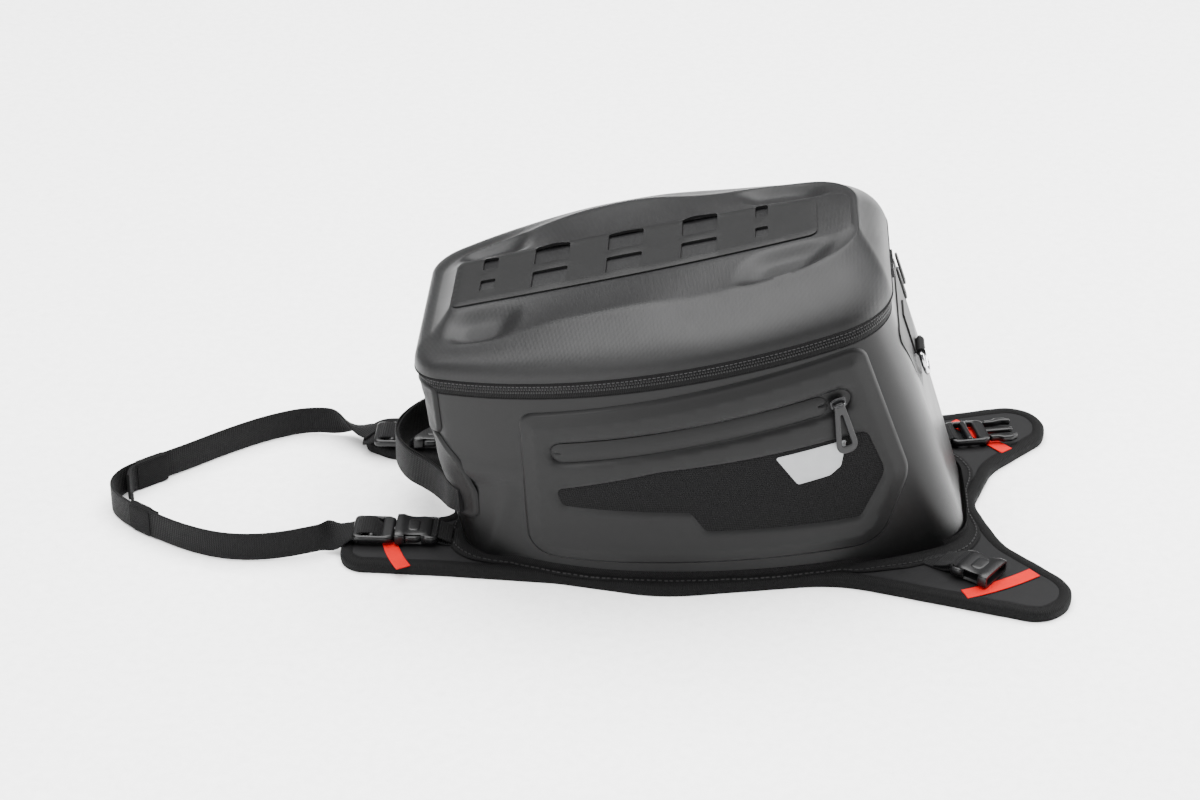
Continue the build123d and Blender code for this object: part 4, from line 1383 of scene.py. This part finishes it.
def make_socket():
    """Female buckle half: waisted shell with side windows, and the webbing bar behind it."""
    # Each station: x, half width, height.
    stations = [(-28.5, 12.8, 9.4), (-27.5, 13.8, 9.9), (-24, 14.6, 10.3), (-21, 15.3, 10.3),
                (-17, 15.1, 9.9), (-12, 15.3, 9.9), (-7.5, 16.0, 10.6), (-5.5, 16.6, 11.2),
                (-1.0, 16.6, 11.2), (0.0, 16.1, 10.8)]
    turns = np.linspace(0, 2 * math.pi, 49)[:-1]

    def section(x, half_y, low, high, power):
        c, sn = np.cos(turns), np.sin(turns)
        y = half_y * np.sign(c) * np.abs(c) ** (2 / power)
        z = (low + high) / 2 + (high - low) / 2 * np.sign(sn) * np.abs(sn) ** (2 / power)
        return np.column_stack([np.full(len(turns), x), y, z])

    outer = [section(x, w, 0.3, top, 6.0) for x, w, top in stations]
    inner = [section(max(x, -26.0), 14.1, 2.1, 8.9, 7.0) for x, _, _ in stations]
    rows, columns = len(outer), len(turns)
    window = np.abs(np.sin(turns)) < 0.78
    faces = []

    def cut(r, c):
        middle = (stations[r][0] + stations[r + 1][0]) / 2
        return -21 < middle < -7.5 and window[c] and window[(c + 1) % columns]

    base = rows * columns
    for r in range(rows - 1):
        for c in range(columns):
            d = (c + 1) % columns
            quad = [r * columns + c, (r + 1) * columns + c, (r + 1) * columns + d, r * columns + d]
            if not cut(r, c):
                faces += [quad[::-1], [i + base for i in quad]]
                continue
            for near, a, b in ((cut(r - 1, c), quad[3], quad[0]), (cut(r + 1, c), quad[1], quad[2]),
                               (cut(r, (c - 1) % columns), quad[0], quad[1]), (cut(r, d), quad[2], quad[3])):
                if not near:
                    faces.append([a, b, b + base, a + base][::-1])
    mouth = (rows - 1) * columns
    faces += [[mouth + c, mouth + (c + 1) % columns, base + mouth + (c + 1) % columns, base + mouth + c][::-1]
              for c in range(columns)]
    faces += [list(range(columns)), [base + c for c in range(columns)][::-1]]
    shell = mesh_object("socket", np.vstack(outer + inner), faces, MAT["plastic"], sharp=45)
    back = rounded([(-34, -16, 5), (-22, -16, 3), (-22, 16, 3), (-34, 16, 5)], 1.4)
    bar = moulded_plate("bar", back, [box_loop(-31.3, -27.6, 12.9)], 1.8, 8.8, 1.6, MAT["plastic"])
    rib = moulded_plate("rib", box_loop(-19.5, -9.5, 8.5, 3.5), [], 9.0, 10.5, 0.9, MAT["plastic"],
                        crown=0.15)
    return join([shell, bar, rib], "socket")


def make_plug():
    """Ladder frame and centre guide of the male half."""
    rim = rounded([(1.0, -13.5, 3), (6, -16.5, 4), (34, -16.5, 5), (34, 16.5, 5), (6, 16.5, 4),
                   (1.0, 13.5, 3)], 1.4)
    slots = [box_loop(11, 16, 13), box_loop(21, 26.5, 13)]
    ladder = moulded_plate("ladder", rim, slots, 2.0, 8.0, 1.8, MAT["plastic"])
    bar = moulded_plate("bar", box_loop(16.2, 20.8, 14.5, 1.5), [], 3.4, 9.3, 1.6, MAT["plastic"], 1.2)
    guide = moulded_plate("guide", box_loop(-21.5, 4, 2.6, 2.0), [], 3.6, 7.4, 1.2, MAT["plastic"], 1.2)
    return join([ladder, bar, guide], "plug")


def make_arm(sign):
    """Release arm: a slim beam that swells into the pressed pad and ends in its hook."""
    side = [(0.9, 9.6, 0.8), (0.9, 13.3, 1.5), (-6.5, 13.4, 4), (-9.4, 15.9, 2.5), (-17.5, 15.7, 3.5),
            (-22.8, 12.6, 1.6), (-22.8, 10.4, 1.2), (-15, 11.4, 5), (-8, 9.7, 4)]
    loop = rounded([(x, y * sign, r) for x, y, r in side], 1.0)
    return moulded_plate("arm", loop, [], 2.7, 8.3, 1.3, MAT["plastic"], 1.1)


def put(piece, name, move, body, node, slot):
    """Name a moulded piece, move it to its place and tie it to its body."""
    piece.name = piece.data.name = name
    piece.data.transform(move)
    finish_piece(piece, body, [node], slot)


def put_buckle(piece, name, seat, body, node):
    turn, mouth, z = seat
    move = Matrix.Translation(Vector((*mouth, z)) * MM) @ Matrix.Rotation(math.radians(turn), 4, "Z")
    put(piece, name, move, body, node, "buckle_plastic")


def put_arms(prefix, seat, outer_sign):
    for arm, sign in (("outer", outer_sign), ("inner", -outer_sign)):
        body = f"{prefix}_{arm}_arm"
        put_buckle(make_arm(sign), f"buckle_{body}", seat, body, body)


def make_buckles():
    for side, name in SIDES:
        seat = (180, (-242.0, side * FRONT_BUCKLE_Y), PAD_TOP + 1.4)
        put_buckle(make_socket(), f"buckle_socket_front_{name}", seat, "front_ears", f"front_{name}_socket")
        put_buckle(make_plug(), f"buckle_plug_front_{name}", seat, "front_ears", f"front_{name}_plug")
        put_arms(f"front_{name}", seat, -side)
    put_buckle(make_socket(), "buckle_socket_rear_left", REAR_SOCKET_SEAT, "rear_socket", "rear_left_socket")
    put_buckle(make_plug(), "buckle_plug_rear_right", REAR_PLUG_SEAT, "rear_plug", "rear_right_plug")
    put_arms("rear_right", REAR_PLUG_SEAT, -1)


# ------------------------------------------------------------------ sliders and pullers
def hanging_frame(joint, normal):
    """Frame at a puller's pivot: X along the pivot, Z out of the wall."""
    x_dir = -np.array(JOINTS[joint]["axis"], float)
    x_dir /= np.linalg.norm(x_dir)
    z_dir = normal - x_dir * (normal @ x_dir)
    z_dir /= np.linalg.norm(z_dir)
    y_dir = np.cross(z_dir, x_dir)
    place = Matrix((x_dir, y_dir, z_dir)).transposed().to_4x4()
    return Matrix.Translation(Vector(JOINTS[joint]["pos_m"])) @ place


def teardrop(length, top, bottom):
    """Puller: narrow at its eye, wide and round at its end, with a slim wedge-shaped window."""
    head = 1.3
    end = -(length - 2)
    half = bottom / 2
    flank = [(top / 2, head, 2.4), (half, end + half * 0.9, half * 1.6), (half * 0.8, end, half * 0.75)]
    outer = rounded([(-x, y, r) for x, y, r in flank] + flank[::-1], 1.2)
    window = rounded([(-0.9, -length * 0.2, 0.8), (-half * 0.5, end + half * 0.75, 1.6),
                      (half * 0.5, end + half * 0.75, 1.6), (0.9, -length * 0.2, 0.8)], 1.2)
    return moulded_plate("puller", outer, [window], -1.0, 1.0, 0.7, MAT["puller"], 1.3)


def slider_with_bail():
    """Slider body with a raised bail over its middle, seen from its pivot."""
    flank = [(-6.2, 3.2, 1.5), (-2, 4.6, 2), (6.2, 4.2, 1.2)]
    nose = rounded([(x, -y, r) for x, y, r in flank] + flank[::-1], 1.1)
    body = moulded_plate("slider", nose, [], -3.0, -1.5, 0.7, MAT["slider"], 1.1)
    arch = [(4.6, 0, -2.2), (4.2, 0, 0.2), (2.4, 0, 2.0), (0, 0, 2.5), (-2.4, 0, 2.0), (-4.2, 0, 0.2),
            (-4.6, 0, -2.2)]
    line = evenly(np.array(arch, float), 20)
    across = np.array([0, 1.0, 0])
    rows = [[centre + across * x + np.cross(across, ahead) * y for x, y in ring(1.15, 0.85, 10)]
            for centre, ahead in zip(line, directions(line))]
    bail = swept("bail", rows, MAT["slider"])
    return join([body, bail], "slider")


def make_pullers():
    rear_up = BODY[-1][NEAR_HALF - 1] - BODY[0][NEAR_HALF - 1]
    rear_out = np.cross([0, 1.0, 0], rear_up / np.linalg.norm(rear_up))
    for side, name in SIDES:
        pivot = np.array(JOINTS[f"pocket_puller_{name}_swing"]["pos_m"]) / MM
        _, normal = wall_at(np.array([[pivot[0], pivot[2]]]))
        out = normal[0] * [1, side, 1]
        move = hanging_frame(f"pocket_puller_{name}_swing", out)
        rear_move = hanging_frame(f"main_puller_{name}_swing", rear_out)
        for piece, label, where, body in (
                (teardrop(46, 7.5, 17), "pocket_pull_tab", move, f"pocket_puller_{name}"),
                (slider_with_bail(), "pocket_slider_body", move, f"pocket_slider_{name}"),
                (teardrop(28, 6, 9), "main_pull_tab", rear_move, f"main_puller_{name}")):
            put(piece, f"{label}_{name}", where, body, body, "slider_metal")


# ------------------------------------------------------------------ handle
def make_handle():
    """Grab loop of doubled webbing, sewn into the front wall."""
    sewn, normal = around_wall(np.array([(98, 58.5), (86, 57.5), (73, 56.5)]))
    near = np.vstack([sewn + normal * 2.8, [(-218, -53, 55.5), (-236, -36, 54.5), (-247.5, -12, 53.5)]])
    route = np.vstack([near, near[::-1] * [1, -1, 1]])
    line = spline(route * MM, 90) / MM
    along = strip_lengths(line)
    from_end = np.minimum(along, along[-1] - along)
    width = 28 - 7 * (1 - smooth(from_end / 30))
    layers = []
    side = np.cross(directions(line), [0, 0, 1.0])
    for sign in (-1, 1):
        offset = side * (0.95 + 0.35 * np.sin(along / 9)[:, None]) * sign
        layers.append(ribbon(f"handle_layer_{sign}", line + offset, width, 1.75, MAT["webbing"], roll=90))
    handle = join(layers, "carry_handle_webbing")
    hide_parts("carry_handle")
    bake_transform(handle)


# ------------------------------------------------------------------ CAD parts that stay
def keep_node(name, material, bevel):
    """Give a CAD node that stays its look, with its edges rounded by bevel mm."""
    node = frame["nodes"][name]
    node.data.materials.clear()
    node.data.materials.append(material)
    if bevel:
        weld = node.modifiers.new("weld", "WELD")
        weld.merge_threshold = 0.00001
        edge = node.modifiers.new("bevel", "BEVEL")
        edge.width, edge.segments, edge.limit_method = bevel * MM, 3, "ANGLE"
        edge.angle_limit = math.radians(35)
        edge.use_clamp_overlap = True
        edge.harden_normals = False
        smooth_edges = node.modifiers.new("normals", "WEIGHTED_NORMAL")
        smooth_edges.keep_sharp = False


def keep_parts():
    for side in ("left", "right"):
        keep_node(f"main_slider_{side}", MAT["slider"], 0.8)
    keep_node("d_ring", MAT["chrome"], 0)
    keep_node("rear_tab", MAT["patch"], 0.3)
    keep_node("base_board", MAT["board"], 0.3)
    keep_node("lid_hinge_strip", MAT["patch"], 0.4)
    keep_node("rear_patch", MAT["patch"], 0)


make_camera()
make_studio()
make_strap()
make_lid()
make_top_panel()
make_body()
make_pockets()
make_main_zip()
make_lid_binding()
make_pad()
make_stripes()
make_tabs()
make_flange()
make_patches()
make_buckles()
make_pullers()
make_handle()
keep_parts()
